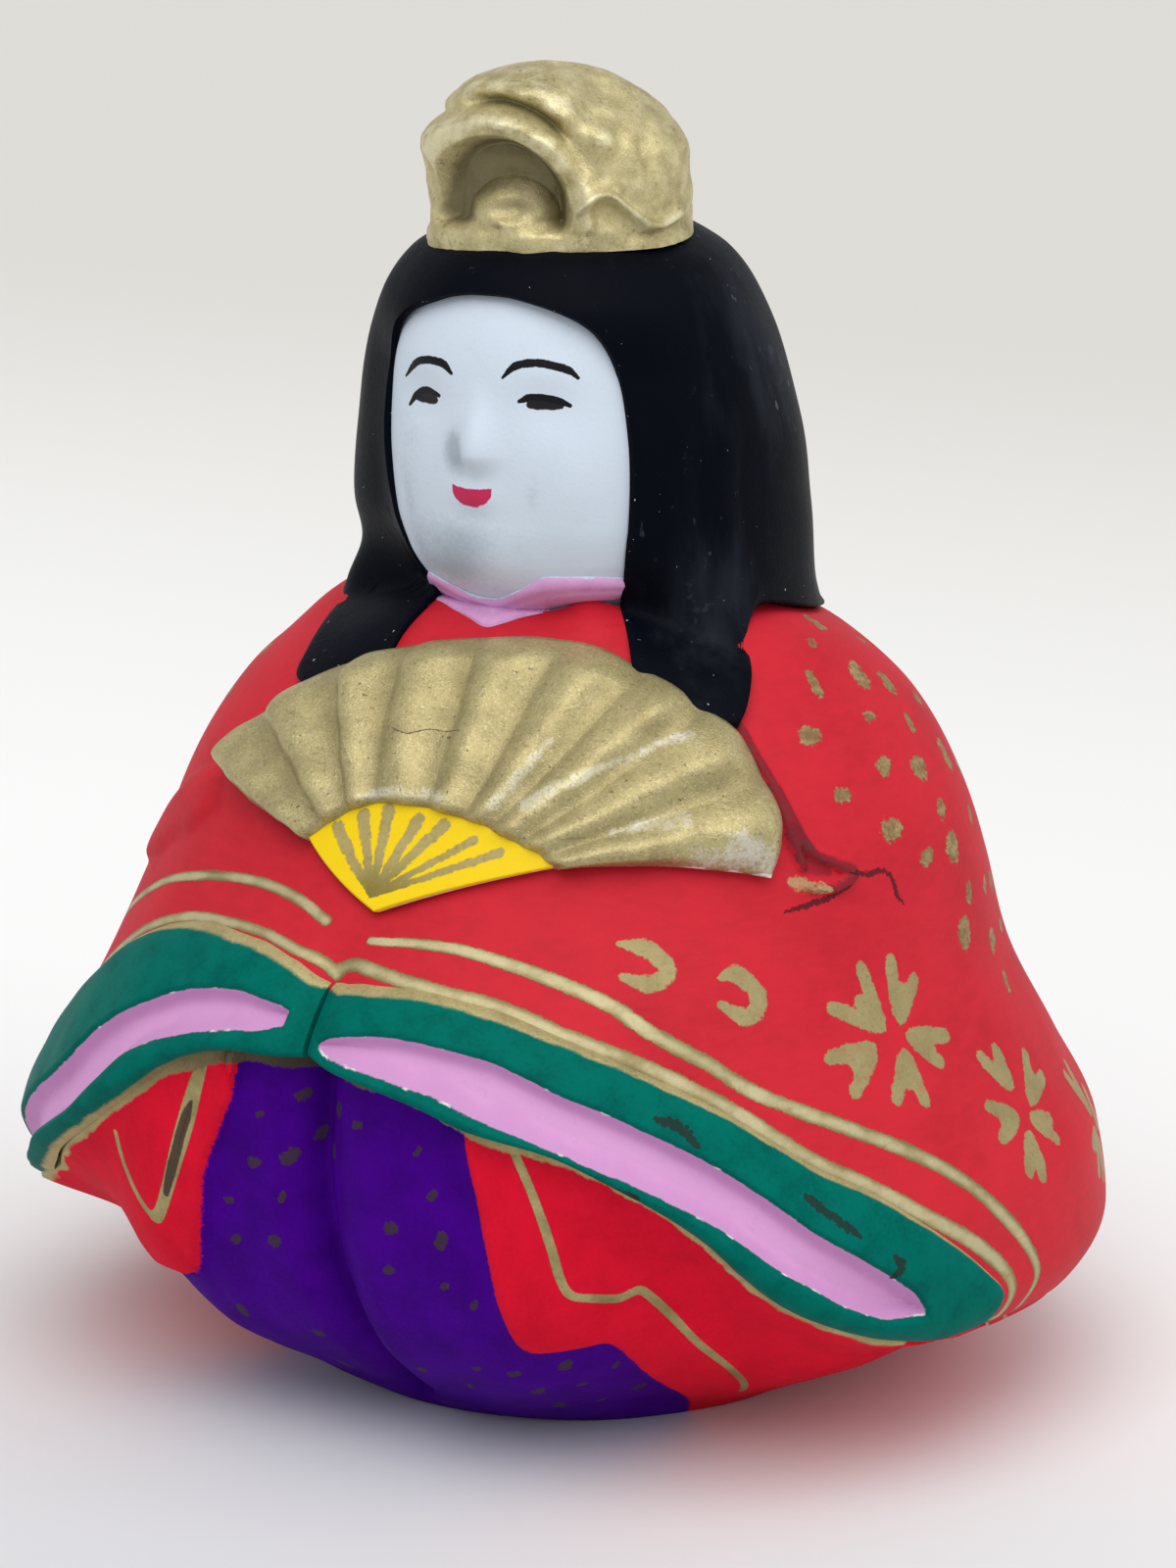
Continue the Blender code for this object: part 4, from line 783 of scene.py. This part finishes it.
def crown_relief(across, level):
    """Moulded ornament on the crown, in millimetres, over distance across its front and height."""
    arch, mound, drop = (oval(across, level, *shape) for shape in (ARCH, MOUND, DROP))
    above, right = smooth_step(79.0, 80.2, level), smooth_step(-5.5, -3, across)
    high, wavy = smooth_step(84, 86, level), smooth_step(3.0, 3.8, across)
    sunk = smooth_step(1.04, 0.9, arch) * above
    relief = sunk * (-1.7 + 2.1 * np.clip(1.0 - mound, 0, 1) ** 0.8) - 0.6 * smooth_step(1.2, 0.2, drop) * above
    relief += 0.7 * hump(arch, 1.2, 0.14) * above * smooth_step(-7.6, -6, across)
    relief -= 1.1 * hump(arch, 1.45, 0.085) * high * smooth_step(-5.0, -3.0, across) * smooth_step(3.8, 2.2, across)
    relief += 0.55 * hump(arch, 1.72, 0.2) * high * right
    relief -= 0.55 * hump(across, 3.6 + (level - 84) * 0.25, 0.9) * smooth_step(80.5, 82.5, level)
    wave = 80.9 + 1.1 * np.cos((across - 4.9) * 0.95)
    relief += (0.6 * hump(level, wave, 0.42) - 0.35 * hump(level, wave - 1.2, 0.7)) * wavy
    relief -= (0.3 * hump(across, 6.3, 0.65) + 0.25 * hump(across, 7.8, 0.5)) * smooth_step(81.8, 84.5, level)
    relief -= 0.5 * hump(across, -7.2, 0.45) * smooth_step(80, 81.5, level) * smooth_step(87.5, 86, level)
    return relief


def mould_crown(finish):
    """Crown with scrolled ornament in front, seated on the hair."""

    def form(u, v):
        angle = around_doll(u, -110, 130)
        rim = ellipse_radius(angle, CROWN_BREADTH, CROWN_DEPTH)
        edge = place(angle + CROWN_TURN, rim, 0 * angle)
        base = dome_height(edge[:, 0] + CROWN_SPOT[0], edge[:, 1] + CROWN_SPOT[1]) - CROWN_SEAT
        base = base + CROWN_TILT * np.sin(np.radians(angle))
        rise = np.clip((v - CROWN_FOOT_ROWS) / (1 - CROWN_FOOT_ROWS), 0, 1)
        share = 1 - (1 - rise) ** 1.5
        height = base + (CROWN_TOP - base) * share
        radius = rim * crown_share(share) - CROWN_NARROWED * hump(angle, 66, 30) * hump(share, 0.84, 0.17)
        across = radius * np.sin(np.radians(angle)) / MM
        relief = crown_relief(across + 0.9, height / MM) * smooth_step(100, 70, np.abs(angle))
        relief = relief * smooth_step(1.0, 0.85, share) * smooth_step(0.0, 0.12, share)
        relief = relief + 0.7 * hump(angle, -85, 30) * (hump(share, 0.6, 0.1) - 0.8 * hump(share, 0.73, 0.05))
        radius = np.where(v > LAST, 0, (radius + relief * MM) * np.clip(v / CROWN_FOOT_ROWS, 0, 1))
        spots = place(angle, radius, height)
        lumps = uneven(spots, 2.2 * MM, 0.26 * MM) + uneven(spots, 0.7 * MM, 0.07 * MM)
        radius = radius + np.where((v > CROWN_FOOT_ROWS) & (v < 0.99), lumps, 0)
        shift = place(LEAN_ANGLE + 0 * angle, CROWN_SHIFT * smooth_step(0.35, 0.97, share), 0 * angle)
        return place(angle + CROWN_TURN, radius, height) + np.array(CROWN_SPOT) + shift, {"recess": -relief}

    mould("crown_moulded", (420, 180), form, finish, "gold", "crown")


def mould_collar(finish):
    """Folded collar between the chin and the robe."""

    def form(u, v):
        angle = -COLLAR_ANGLE + 2 * COLLAR_ANGLE * u
        low, high = collar_low(angle) * MM, collar_high(angle) * MM
        outside, share = up_and_back(v, *COLLAR_ROWS)
        height = low + (high - low) * share
        under = np.maximum(face_radius(angle, height), np.where(height < ROBE_HEIGHT, robe_radius(angle, height), 0))
        rounded = COLLAR_PROUD * np.sin(np.pi * np.clip(share, 0.02, 0.98)) ** 0.5 - 0.1 * MM
        fold = 0.12 * MM * hump(share, 0.5, 0.12) * outside
        spots = place(angle, under + np.where(outside, rounded, -COLLAR_SUNK) - fold, height)
        return spots, {"from_top": (high - height) / MM}

    mould("collar_moulded", (200, 40), form, finish, "pink", "collar")


def fan_spots(turn, reach, proud):
    """Places on the fan at an angle round its pivot and a reach from it, in millimetres."""
    height = FAN_PIVOT_HEIGHT + FAN_RISE * reach * MM * np.cos(np.radians(turn))
    around = (robe_radius(10.0, height) + robe_radius(90.0, height)) / 2
    angle = FAN_PIVOT_ANGLE + np.degrees(reach * MM * np.sin(np.radians(turn)) / around)
    return place(angle, robe_radius(angle, height) + proud * MM, height)


def fan_lines(turn, reach, lines, widths):
    """Cover of straight strokes on the fan, through points given as angle and reach at its pivot."""
    strokes = []
    for points in lines:
        turns, reaches = np.array(points, dtype=float).T
        along = np.linspace(0, len(points) - 1, 6 * len(points))
        x = np.interp(along, range(len(points)), reaches * np.sin(np.radians(turns)))
        y = np.interp(along, range(len(points)), reaches * np.cos(np.radians(turns)))
        path = fan_spots(np.degrees(np.arctan2(x, y)), np.hypot(x, y), PAINT_LEVEL)
        strokes.append((path, np.interp(along, (0, len(points) - 1), widths) * MM))
    return brushed(fan_spots(turn, reach, PAINT_LEVEL), strokes)


def mould_fan_leaf(finish):
    """Folded leaf of the fan: nine soft ridges with a valley between each two."""
    valleys = range(len(VALLEYS_OUTER))

    def form(u, v):
        panel = np.clip(u * valleys[-1], 0, valleys[-1] - 0.0001)
        outer, inner = np.interp(panel, valleys, VALLEYS_OUTER), np.interp(panel, valleys, VALLEYS_INNER)
        turn = inner + (outer - inner) * v - 2.7 * np.sin(math.pi * v) * np.clip(1 - panel, 0, 1)
        reach = ribs_reach(inner) + (fan_reach(outer) - ribs_reach(inner)) * v
        ridge = 0.5 - 0.5 * np.cos(2 * math.pi * (panel % 1.0) ** 0.75)
        from_side = np.minimum(u, 1 - u) * valleys[-1] * PANEL_WIDTH
        edge = np.minimum(from_side, np.minimum(v, 1 - v) * LEAF_DEPTH)
        rounded = 1 - np.clip(1 - edge / 1.1, 0, 1) ** 2
        scalloped = reach * (1 + 0.007 * (ridge - 0.6) * smooth_step(0.5, 1, v))
        proud = 0.75 + 0.9 * rounded + 1.25 * ridge * (0.25 + 0.75 * v) * smooth_step(0, 2.5, edge + 1.0)
        lumps = uneven(fan_spots(turn, scalloped, proud), 2.2 * MM, 0.22)
        marks = {
            # How deep a point lies in a valley: the paint darkens it there as painted shade and lightens the ridges as
            # painted highlight
            "valley": 1 - ridge * (0.3 + 0.7 * v),
            "from_edge": edge,
            "from_side": np.minimum(from_side, v * LEAF_DEPTH + 0.25),
            "corner": hump(u, 0.975, 0.04) * hump(v, 0.8, 0.3) + 0.6 * hump(u, 0.02, 0.03) * hump(v, 0.9, 0.2),
            "crack": fan_lines(turn, reach, [FAN_CRACK], (0.08, 0.06)),
            "worn": np.maximum(fan_lines(turn, reach, FAN_WORN, (0.5, 0.8)), -1),
        }
        return fan_spots(turn, scalloped, proud + lumps), marks

    mould("fan_leaf_moulded", (450, 100), form, finish, "gold", "fan_leaf", clay=LEAF_CLAY)


def mould_fan_ribs(finish):
    """Bare ribs between the pivot and the leaf, flat and painted."""
    strokes = [(RIB_STROKES_START, end) for end in RIB_STROKES]

    def form(u, v):
        inner, outer = np.interp(u, (0, 1), (-64, 61)), np.interp(u, (0, 1), (-56.5, 68))
        turn = inner + (outer - inner) * v
        reach = 0.2 + (ribs_reach(outer) + 0.3) * v
        edge = np.minimum(np.minimum(u, 1 - u) * 2.1 * reach, reach)
        rounded = 1 - np.clip(1 - edge / 0.45, 0, 1) ** 2
        broad = fan_lines(turn, reach, strokes[:5], (0.28, 0.52))
        thin = fan_lines(turn, reach, strokes[5:], (0.25, 0.34))
        marks = {"strokes": np.maximum(broad, thin), "from_edge": edge, "reach": reach}
        return fan_spots(turn, reach, 0.5 + 0.5 * rounded), marks

    mould("fan_ribs_moulded", (280, 90), form, finish, "yellow", "fan_ribs", clay=RIBS_CLAY)


class Amount:
    """A number at each point of a surface, so that shader maths reads as plain expressions."""

    def __init__(self, finish, socket):
        self.finish, self.socket = finish, socket

    def maths(self, operation, *values):
        made = self.finish.node("ShaderNodeMath", {"operation": operation}, dict(enumerate(values)))
        return Amount(self.finish, made.outputs[0])

    def __add__(self, other):
        return self.maths("ADD", self, other)

    def __radd__(self, other):
        return self.maths("ADD", other, self)

    def __sub__(self, other):
        return self.maths("SUBTRACT", self, other)

    def __rsub__(self, other):
        return self.maths("SUBTRACT", other, self)

    def __mul__(self, other):
        return self.maths("MULTIPLY", self, other)

    def __rmul__(self, other):
        return self.maths("MULTIPLY", other, self)

    def __abs__(self):
        return self.maths("ABSOLUTE", self)

    def step(self, low, high):
        """0 below low, 1 above high, smooth between."""
        settings = {"interpolation_type": "SMOOTHSTEP"}
        made = self.finish.node("ShaderNodeMapRange", settings, {0: self, 1: low, 2: high, 3: 0.0, 4: 1.0})
        return Amount(self.finish, made.outputs[0])


def opaque(colour):
    return (*colour, 1.0) if isinstance(colour, tuple) else colour


class Finish:
    """Node tree of one paint or clay finish. Its coat is the colour laid on so far."""

    def __init__(self, name, shine=0.2):
        self.material = bpy.data.materials.new(name)
        self.material.use_nodes = True
        self.tree = self.material.node_tree
        self.shader = self.tree.nodes["Principled BSDF"]
        self.shader.inputs["Specular IOR Level"].default_value = shine
        self.object_place = self.node("ShaderNodeTexCoord", {}, {}).outputs["Object"]
        self.coat = None

    def node(self, kind, settings, values):
        made = self.tree.nodes.new(kind)
        for setting, value in settings.items():
            setattr(made, setting, value)
        for socket, value in values.items():
            self.feed(made.inputs[socket], value)
        return made

    def feed(self, socket, value):
        source = value.socket if isinstance(value, Amount) else value
        if isinstance(source, bpy.types.NodeSocket):
            self.tree.links.new(source, socket)
        else:
            socket.default_value = source

    def mark(self, name):
        return Amount(self, self.node("ShaderNodeAttribute", {"attribute_name": name}, {}).outputs["Fac"])

    def cover(self, mark, noise, low, high):
        """Cover of a brushed mark with its edge broken by noise."""
        return (self.mark(mark) + noise).step(low, high)

    def grain(self, size, detail=3.0, stretch=(1, 1, 1), rough=0.55):
        """Noise with grains of this size in millimetres, from about -0.5 to 0.5."""
        where = self.node("ShaderNodeMapping", {}, {"Vector": self.object_place, "Scale": stretch}).outputs[0]
        values = {"Vector": where, "Scale": 1 / (size * MM), "Detail": detail, "Roughness": rough}
        return Amount(self, self.node("ShaderNodeTexNoise", {}, values).outputs["Fac"]) - 0.5

    def over(self, cover, under, paint):
        """Colour of a paint laid over another."""
        values = {0: cover, 6: opaque(under), 7: opaque(paint)}
        return self.node("ShaderNodeMix", {"data_type": "RGBA"}, values).outputs[2]

    def lay(self, cover, paint):
        self.coat = self.over(cover, self.coat, paint)

    def dry(self, roughness, height, metallic=None, relief=0.05):
        """Give the coat its gloss and a little relief in millimetres."""
        self.feed(self.shader.inputs["Base Color"], self.coat)
        self.feed(self.shader.inputs["Roughness"], roughness)
        if metallic is not None:
            self.feed(self.shader.inputs["Metallic"], metallic)
        bump = self.node("ShaderNodeBump", {}, {"Height": height, "Distance": relief * MM, "Strength": 1.0})
        self.feed(self.shader.inputs["Normal"], bump.outputs[0])
        return self.material


def gold_tone(finish, light=0.5):
    """Olive gold paint full of bright and dark specks."""
    specks = finish.grain(0.15, 2.0).step(-0.02, 0.3)
    pits = finish.grain(0.3, 2.0).step(0.0, 0.28)
    patches = finish.grain(2.4, 4.0).step(-0.45, 0.25)
    tone = finish.over(patches * 0.6 + 0.4, GOLD_DARK, GOLD)
    tone = finish.over(pits * 0.6, tone, GOLD_DARK)
    return finish.over(specks * (patches * 0.5 + 0.2) * light, tone, GOLD_LIGHT)


def paint_robe():
    """Red robe with gold lines, dots and blossoms."""
    red = Finish("red robe paint")
    grain, tone, slow = red.grain(0.3), red.grain(7, 4.0), red.grain(3.5)
    brush = red.grain(1.6, 3.0, (1, 1, 3))
    edge = grain * 1.1 + brush * 0.9
    red.coat = red.over((tone + brush * 0.5).step(-0.3, 0.5), RED, RED_DEEP)
    red.lay(red.cover("slip_hollow", edge, -0.3, 0.7) * 0.6, MAROON)
    red.lay(red.cover("slip", edge * 1.2, -0.2, 0.8) * 0.8, red.over((brush * 1.5).step(-0.2, 0.6), MAROON, UMBER))
    cracks = red.cover("cracks", grain * 4, 0.0, 0.5)
    red.lay(cracks * 0.9, CRACK_DARK)
    gold = gold_tone(red)
    dull_gold = red.over(0.4, gold, GOLD_DARK)
    dots = red.cover("dots", edge * 1.8, 0.05, 0.5)
    red.lay(dots * 0.92, red.over((grain + brush).step(-0.2, 0.4) * 0.8, GOLD_DARK, gold))
    red.lay(red.cover("smear", edge * 2.2, 0.1, 0.8) * 0.7, gold)
    petals = red.cover("petals", edge * 1.1, 0.0, 0.35)
    red.lay(petals * (brush * 1.6 + grain * 0.5 + 0.95).step(0.1, 0.9), dull_gold)
    lines = red.cover("lines", edge * 0.9, 0.0, 0.35)
    # Painted light on the gold lines: lighter along their middles as painted highlight, darker towards their edges as
    # painted shade, broken by random patches.
    bright = red.cover("lines", slow * 1.6 + brush * 1.2, 0.4, 1.2)
    line_shade = (slow * -1.6 - red.mark("lines") + brush * 0.9).step(-0.95, 0.0)
    line_gold = red.over(line_shade * 0.85, red.over(bright * 0.35, dull_gold, GOLD_LIGHT), GOLD_DARK)
    red.lay(lines * (slow * 1.2 + 1.1).step(0.2, 0.8), line_gold)
    gilt = (lines * 0.8 + petals * 0.6 + dots * 0.4).step(0, 1)
    height = grain * 0.5 + brush * 0.4 + gilt * 0.8 + dots * 0.6 - cracks * 1.5
    return red.dry(0.62 - gilt * 0.16 + grain * 0.1, height, gilt * 0.35)


def paint_hem():
    """Green hem with its pink lining, gold along the upper edge and white primer at the borders. The pink is darker
    towards its edges as painted shade in the groove, and the line under the hem turns umber at the front as painted
    shade.
    """
    green = Finish("green hem paint", shine=0.02)
    grain, brush, lined = green.grain(0.3), green.grain(2.0, 4.0), green.mark("lined")
    edge = grain * 0.14 + brush * 0.3
    green.coat = green.over((brush + grain * 0.5).step(-0.2, 0.45), GREEN, GREEN_DEEP)
    # Painted shade: the pink is darker towards the edges and ends of the lining, along the walls of its groove.
    rose_with_groove_shade = green.over((lined + brush * 1.4).step(1.5, 0.1) * 0.4, PINK, PINK_DEEP)
    green.lay((lined + edge).step(-0.02, 0.06), green.over((brush + grain).step(0.1, 0.5) * 0.3, rose_with_groove_shade, PINK_DEEP))
    border = (0.08 - abs(lined + edge - 0.02)).step(0.0, 0.05)
    green.lay(border * green.grain(1.6, 2.0).step(0.08, 0.16) * 0.8, PRIMER)
    gold = gold_tone(green, 0.7)
    low_line = (0.3 - green.mark("from_low") + edge * 0.9).step(0.0, 0.15)
    # Line along the hem's lower edge, gold at the sides and umber at the front as painted shade.
    green.lay(low_line, green.over(green.mark("middle"), gold, UMBER))
    green.lay(green.cover("scuffs", grain * 2.6 + brush * 0.8, 0.1, 0.5) * 0.85, SCUFF_DARK)
    top_line = (0.5 - green.mark("from_top") + edge * 1.1).step(0.0, 0.2)
    green.lay(top_line, gold)
    gilt = top_line + low_line * 0.5
    return green.dry(0.5 - gilt * 0.08 + grain * 0.1, grain * 0.5 + brush * 0.5 + gilt * 0.6, gilt * 0.35)


def paint_skirt():
    """Purple hakama with small gold dots between the two red fronts of the under robe."""
    purple = Finish("purple and red skirt paint", shine=0.03)
    grain, brush = purple.grain(0.3), purple.grain(3.0, 4.0)
    edge = grain * 0.3 + brush * 0.3
    deep = (brush + grain * 0.4).step(-0.3, 0.5)
    within = purple.cover("hakama", edge, -0.06, 0.1)
    violet = purple.over(deep, PURPLE, PURPLE_DEEP)
    purple.coat = purple.over(within, purple.over(deep, SKIRT_RED, SKIRT_RED_DEEP), violet)
    gold = gold_tone(purple)
    dots = purple.cover("dots", grain * 2.4, 0.05, 0.5) * within
    purple.lay(dots * 0.85, purple.over(grain.step(0.1, 0.4) * 0.5, UMBER, GOLD_DARK))
    zigzag = purple.cover("zigzag", edge * 1.6, 0.0, 0.3) * (1 - within)
    purple.lay(zigzag, purple.over((brush * 1.2 + 0.3).step(0.0, 0.8), gold, GOLD_DARK))
    purple.lay(purple.cover("opening", edge, 0.0, 0.4) * (1 - within) * 0.9, UMBER)
    # Line under the hem, gold at the sides, wider and umber at the front as painted shade.
    hem_line = (0.4 + purple.mark("middle") * 0.8 - purple.mark("under_hem") + brush * 0.9 + edge).step(0.0, 0.25)
    purple.lay(hem_line, purple.over(purple.mark("middle") * 0.95, gold, UMBER))
    gilt = (zigzag + dots * 0.5 + hem_line * 0.5).step(0, 1)
    return purple.dry(0.62 - gilt * 0.14 + grain * 0.1, grain * 0.5 + brush * 0.4 + gilt * 0.7, gilt * 0.35)


def paint_face():
    """Bluish white face with brushed brows, eyes and lips."""
    white = Finish("white face paint")
    grain, tone = white.grain(0.3), white.grain(5, 4.0)
    white.coat = white.over((tone + grain * 0.4).step(0.0, 0.6) * 0.35, FACE_WHITE, FACE_GREY)
    # Painted shade beside the nose, below the mouth, on the chin and the lower left cheek, and one grey scuff.
    white.lay(white.cover("smudges", tone * 0.6 + grain * 0.5, 0.15, 1.1) * 0.8, FACE_GREY)
    eyes, lids, brows = (white.cover(mark, grain * 0.8, 0.0, 0.35) for mark in ("eyes", "lids", "brows"))
    white.lay(eyes, EYE_BROWN)
    ink = (lids + brows).step(0, 1)
    white.lay(ink, INK)
    lips = white.cover("lips", grain * 0.8, 0.0, 0.3)
    white.lay(lips, LIP_RED)
    return white.dry(0.52 + grain * 0.12, grain * 0.5 + lips * 0.3 + ink * 0.2)


def paint_hair():
    """Matt black hair with brush marks, greyer on the doll's left side as dust and painted sheen, worn grey and
    chipped white near its edges.
    """
    black = Finish("black hair paint", shine=0.04)
    grain, strands, dust = black.grain(0.25), black.grain(2.2, 5.0, (1, 1, 0.25)), black.mark("dust")
    rubbed = (black.grain(1.4, 6.0) + grain * 0.3 + dust * 0.1).step(0.17, 0.32)
    # Greyer where dust and painted sheen lie on the doll's left side, along random strands and rubbed spots.
    haze_and_sheen = (strands + dust * 0.5).step(0.0, 0.65)
    black.coat = black.over((haze_and_sheen * 0.5 + rubbed * 0.4).step(0.0, 1.0), BLACK, BLACK_DUST_AND_SHEEN)
    scratches = (black.grain(0.9, 5.0, (1, 1, 0.4)) + dust * 0.05).step(0.2, 0.26)
    black.lay(scratches * (dust * 0.65 + 0.15), SCRATCH_GREY)
    chips = black.grain(0.35, 2.0).step(0.22, 0.26) * black.mark("from_edge").step(1.6, 0.2)
    black.lay((chips + black.grain(0.3, 2.0).step(0.27, 0.3) * 0.7).step(0.0, 1.0), PRIMER)
    return black.dry(0.46 + grain * 0.14 + strands * 0.2, grain * 0.5 + strands * 0.7)


def paint_crown():
    """Gold paint of the crown, darkened in its hollows as painted shade, and lighter on its raised ornament as painted
    highlight mixed with random rubbed patches.
    """
    gold = Finish("gold crown paint", shine=0.5)
    grain, patches, mottling = gold.grain(0.13), gold.grain(1.3, 4.0), gold.grain(0.3) + gold.grain(2.5) * 0.8
    gold.coat = gold.over((patches * 2.4 + 0.5).step(0.0, 1.0) * 0.5, gold_tone(gold, 1.0), CROWN_BRIGHT)
    gold.lay(mottling.step(0.08, 0.32) * 0.6, GOLD_DARK)
    # Painted shade: the hollows of the ornament are darkened.
    recess_shade = gold.cover("recess", patches * 1.1, 0.25, 1.25)
    gold.lay(recess_shade * 0.9, CROWN_PAINTED_SHADE)
    # Painted highlight on the raised ornament, with random rubbed patches.
    gold.lay((patches * 1.8 - gold.mark("recess") * 0.7 + grain * 0.6).step(0.05, 0.8) * 0.7, GOLD_LIGHT)
    return gold.dry(0.4 + grain * 0.3, grain * 1.1 + patches * 0.6, 0.55 - recess_shade * 0.2)


def paint_fan_leaf():
    """Gold leaf of the fan, darkened in its valleys as painted shade and lighter on its ridges as painted highlight
    and wear, bare primer along its lower edges.
    """
    gold = Finish("gold fan paint", shine=0.4)
    grain, patches, valley = gold.grain(0.14), gold.grain(1.6, 4.0), gold.mark("valley")
    # Painted shade: the valleys between the ridges are darkened.
    gold.coat = gold.over((valley + patches * 0.7).step(0.45, 1.2) * 0.42, gold_tone(gold, 1.0), GOLD_DARK)
    # Painted highlight on the ridges, with random patches and the worn crests.
    gold.lay((patches * 1.4 - valley + grain * 0.8 + gold.mark("worn") * 0.9).step(-0.4, 0.6) * 0.6, LEAF_HIGHLIGHT_AND_WEAR)
    gold.lay(gold.cover("worn", patches * 2.2 + gold.grain(0.3, 2.0) * 1.8, 0.4, 1.5) * 0.45, PRIMER)
    gold.lay(gold.grain(0.26, 2.0).step(0.06, 0.2) * 0.45, GOLD_DARK)
    pits = gold.grain(0.4, 2.0).step(0.2, 0.26)
    gold.lay(pits * 0.6, UMBER)
    gold.lay(gold.cover("corner", patches * 1.8 + gold.grain(0.3, 2.0) * 1.5, 0.4, 1.2) * 0.5, PRIMER)
    bare = (0.1 - gold.mark("from_side") + patches * 0.7 + grain * 0.2).step(0.0, 0.1)
    chipped = gold.grain(3.0, 2.0).step(0.1, 0.2)
    bare = bare + (0.05 - gold.mark("from_edge") + patches * 0.5).step(0.02, 0.1) * chipped
    gold.lay(bare.step(0, 1) * 0.9, PRIMER)
    crack = gold.cover("crack", grain * 2, 0.1, 0.5)
    gold.lay(crack * 0.8, UMBER)
    return gold.dry(0.4 + grain * 0.25, grain * 0.9 + patches * 0.5 - pits * 0.8 - crack * 1.5, 0.5 - bare * 0.45)


def paint_ribs():
    """Yellow ribs with olive strokes fanning out from the pivot."""
    yellow = Finish("yellow ribs paint")
    grain, brush = yellow.grain(0.3), yellow.grain(1.2)
    yellow.coat = yellow.over((brush + grain * 0.4).step(0.0, 0.6) * 0.3, YELLOW, YELLOW_DEEP)
    strokes = yellow.cover("strokes", brush * 1.4 + grain * 1.2, -0.1, 0.5)
    near_pivot = yellow.cover("reach", brush * 3, 6.0, 1.0)
    olive = yellow.over(near_pivot * 0.6 + 0.3, gold_tone(yellow), OLIVE)
    yellow.lay(strokes * (brush + 0.9).step(0.1, 0.9) * 0.9, olive)
    yellow.lay((0.12 - yellow.mark("from_edge") + brush * 0.4 + grain * 0.15).step(0.0, 0.08), PRIMER)
    return yellow.dry(0.5 + grain * 0.1, grain * 0.5 + strokes * 0.6)


def paint_collar():
    """Pink collar, brushed over white primer."""
    pink = Finish("pink collar paint")
    grain, brush = pink.grain(0.3), pink.grain(1.8, 4.0)
    pink.coat = pink.over((brush + grain * 0.5).step(-0.2, 0.5) * 0.6, PINK, PINK_DEEP)
    pink.lay((0.14 - pink.mark("from_top") + brush * 0.4 + grain * 0.2).step(0.0, 0.1), FACE_WHITE)
    return pink.dry(0.55 + grain * 0.1, grain * 0.5 + brush * 0.4)


def fire_clay():
    """Bare fired clay of the disc that closes the foot."""
    clay = Finish("bare fired clay")
    grain, lumps = clay.grain(0.25, 4.0), clay.grain(1.5, 4.0)
    clay.coat = clay.over((grain + lumps * 0.8).step(-0.3, 0.4), CLAY_DARK, CLAY)
    return clay.dry(0.86 + grain * 0.1, grain + lumps, relief=0.12)


def aim(thing, azimuth, elevation, distance):
    """Stand a camera or a lamp off the doll and point it there."""
    turn, rise = math.radians(azimuth), math.radians(elevation)
    away = Vector((math.sin(turn) * math.cos(rise), -math.cos(turn) * math.cos(rise), math.sin(rise)))
    thing.location = CAMERA_AIM + away * distance
    thing.rotation_euler = (-away).to_track_quat("-Z", "Y").to_euler()
    bpy.context.scene.collection.objects.link(thing)


def set_camera():
    view = bpy.data.cameras.new("camera")
    view.sensor_fit, view.sensor_height = "VERTICAL", SENSOR_HEIGHT
    view.lens, view.shift_x, view.clip_start = CAMERA_LENS, CAMERA_SHIFT, 0.01
    camera = bpy.data.objects.new("camera", view)
    aim(camera, CAMERA_AZIMUTH, CAMERA_ELEVATION, CAMERA_DISTANCE)
    bpy.context.scene.camera = camera


def light_studio():
    """Soft even light on the doll and the floor, before a cream wall."""
    for name, azimuth, elevation, spread, strength, colour in LAMPS:
        light = bpy.data.lights.new(name, "SUN")
        light.angle, light.energy, light.color = math.radians(spread), strength, colour
        aim(bpy.data.objects.new(name, light), azimuth, elevation, LAMP_DISTANCE)
    world = bpy.data.worlds.new("studio")
    world.use_nodes = True
    nodes, links = world.node_tree.nodes, world.node_tree.links
    room, wall = nodes["Background"], nodes.new("ShaderNodeBackground")
    room.inputs["Color"].default_value, room.inputs["Strength"].default_value = opaque(ROOM_LIGHT), ROOM_STRENGTH
    wall.inputs["Color"].default_value = opaque(WALL_CREAM)
    choice = nodes.new("ShaderNodeMixShader")
    links.new(nodes.new("ShaderNodeLightPath").outputs["Is Camera Ray"], choice.inputs[0])
    links.new(room.outputs[0], choice.inputs[1])
    links.new(wall.outputs[0], choice.inputs[2])
    links.new(choice.outputs[0], nodes["World Output"].inputs["Surface"])
    bpy.context.scene.world = world
    bpy.context.scene.view_settings.view_transform = "Standard"


def lay_floor():
    """Pale paper that the doll stands on."""
    bpy.ops.object.select_all(action="DESELECT")
    bpy.ops.mesh.primitive_plane_add(size=FLOOR_SIZE)
    floor = bpy.context.object
    floor.name = "floor"
    paper = Finish("pale paper")
    away = Amount(paper, paper.node("ShaderNodeSeparateXYZ", {}, {0: paper.object_place}).outputs[1])
    paper.coat = paper.over(away.step(-0.09, 0.06), FLOOR_NEAR, FLOOR_CREAM)
    paper.lay(away.step(0.05, 0.45), WALL_CREAM)
    floor.data.materials.append(paper.dry(0.9, paper.grain(0.6, 2.0), relief=0.01))


mould_robe(paint_robe())
hem_paint = paint_hem()
mould_hem("hem_left_moulded", 1, hem_paint, "hem_left", "lining_left")
mould_hem("hem_right_moulded", -1, hem_paint, "hem_right", "lining_right")
mould_skirt(paint_skirt())
mould_head(paint_face())
mould_hair(paint_hair())
mould_crown(paint_crown())
mould_collar(paint_collar())
mould_fan_leaf(paint_fan_leaf())
mould_fan_ribs(paint_ribs())
clay = fire_clay()
for slot in bpy.data.objects["base_disc"].material_slots:
    slot.material = clay
set_camera()
light_studio()
lay_floor()
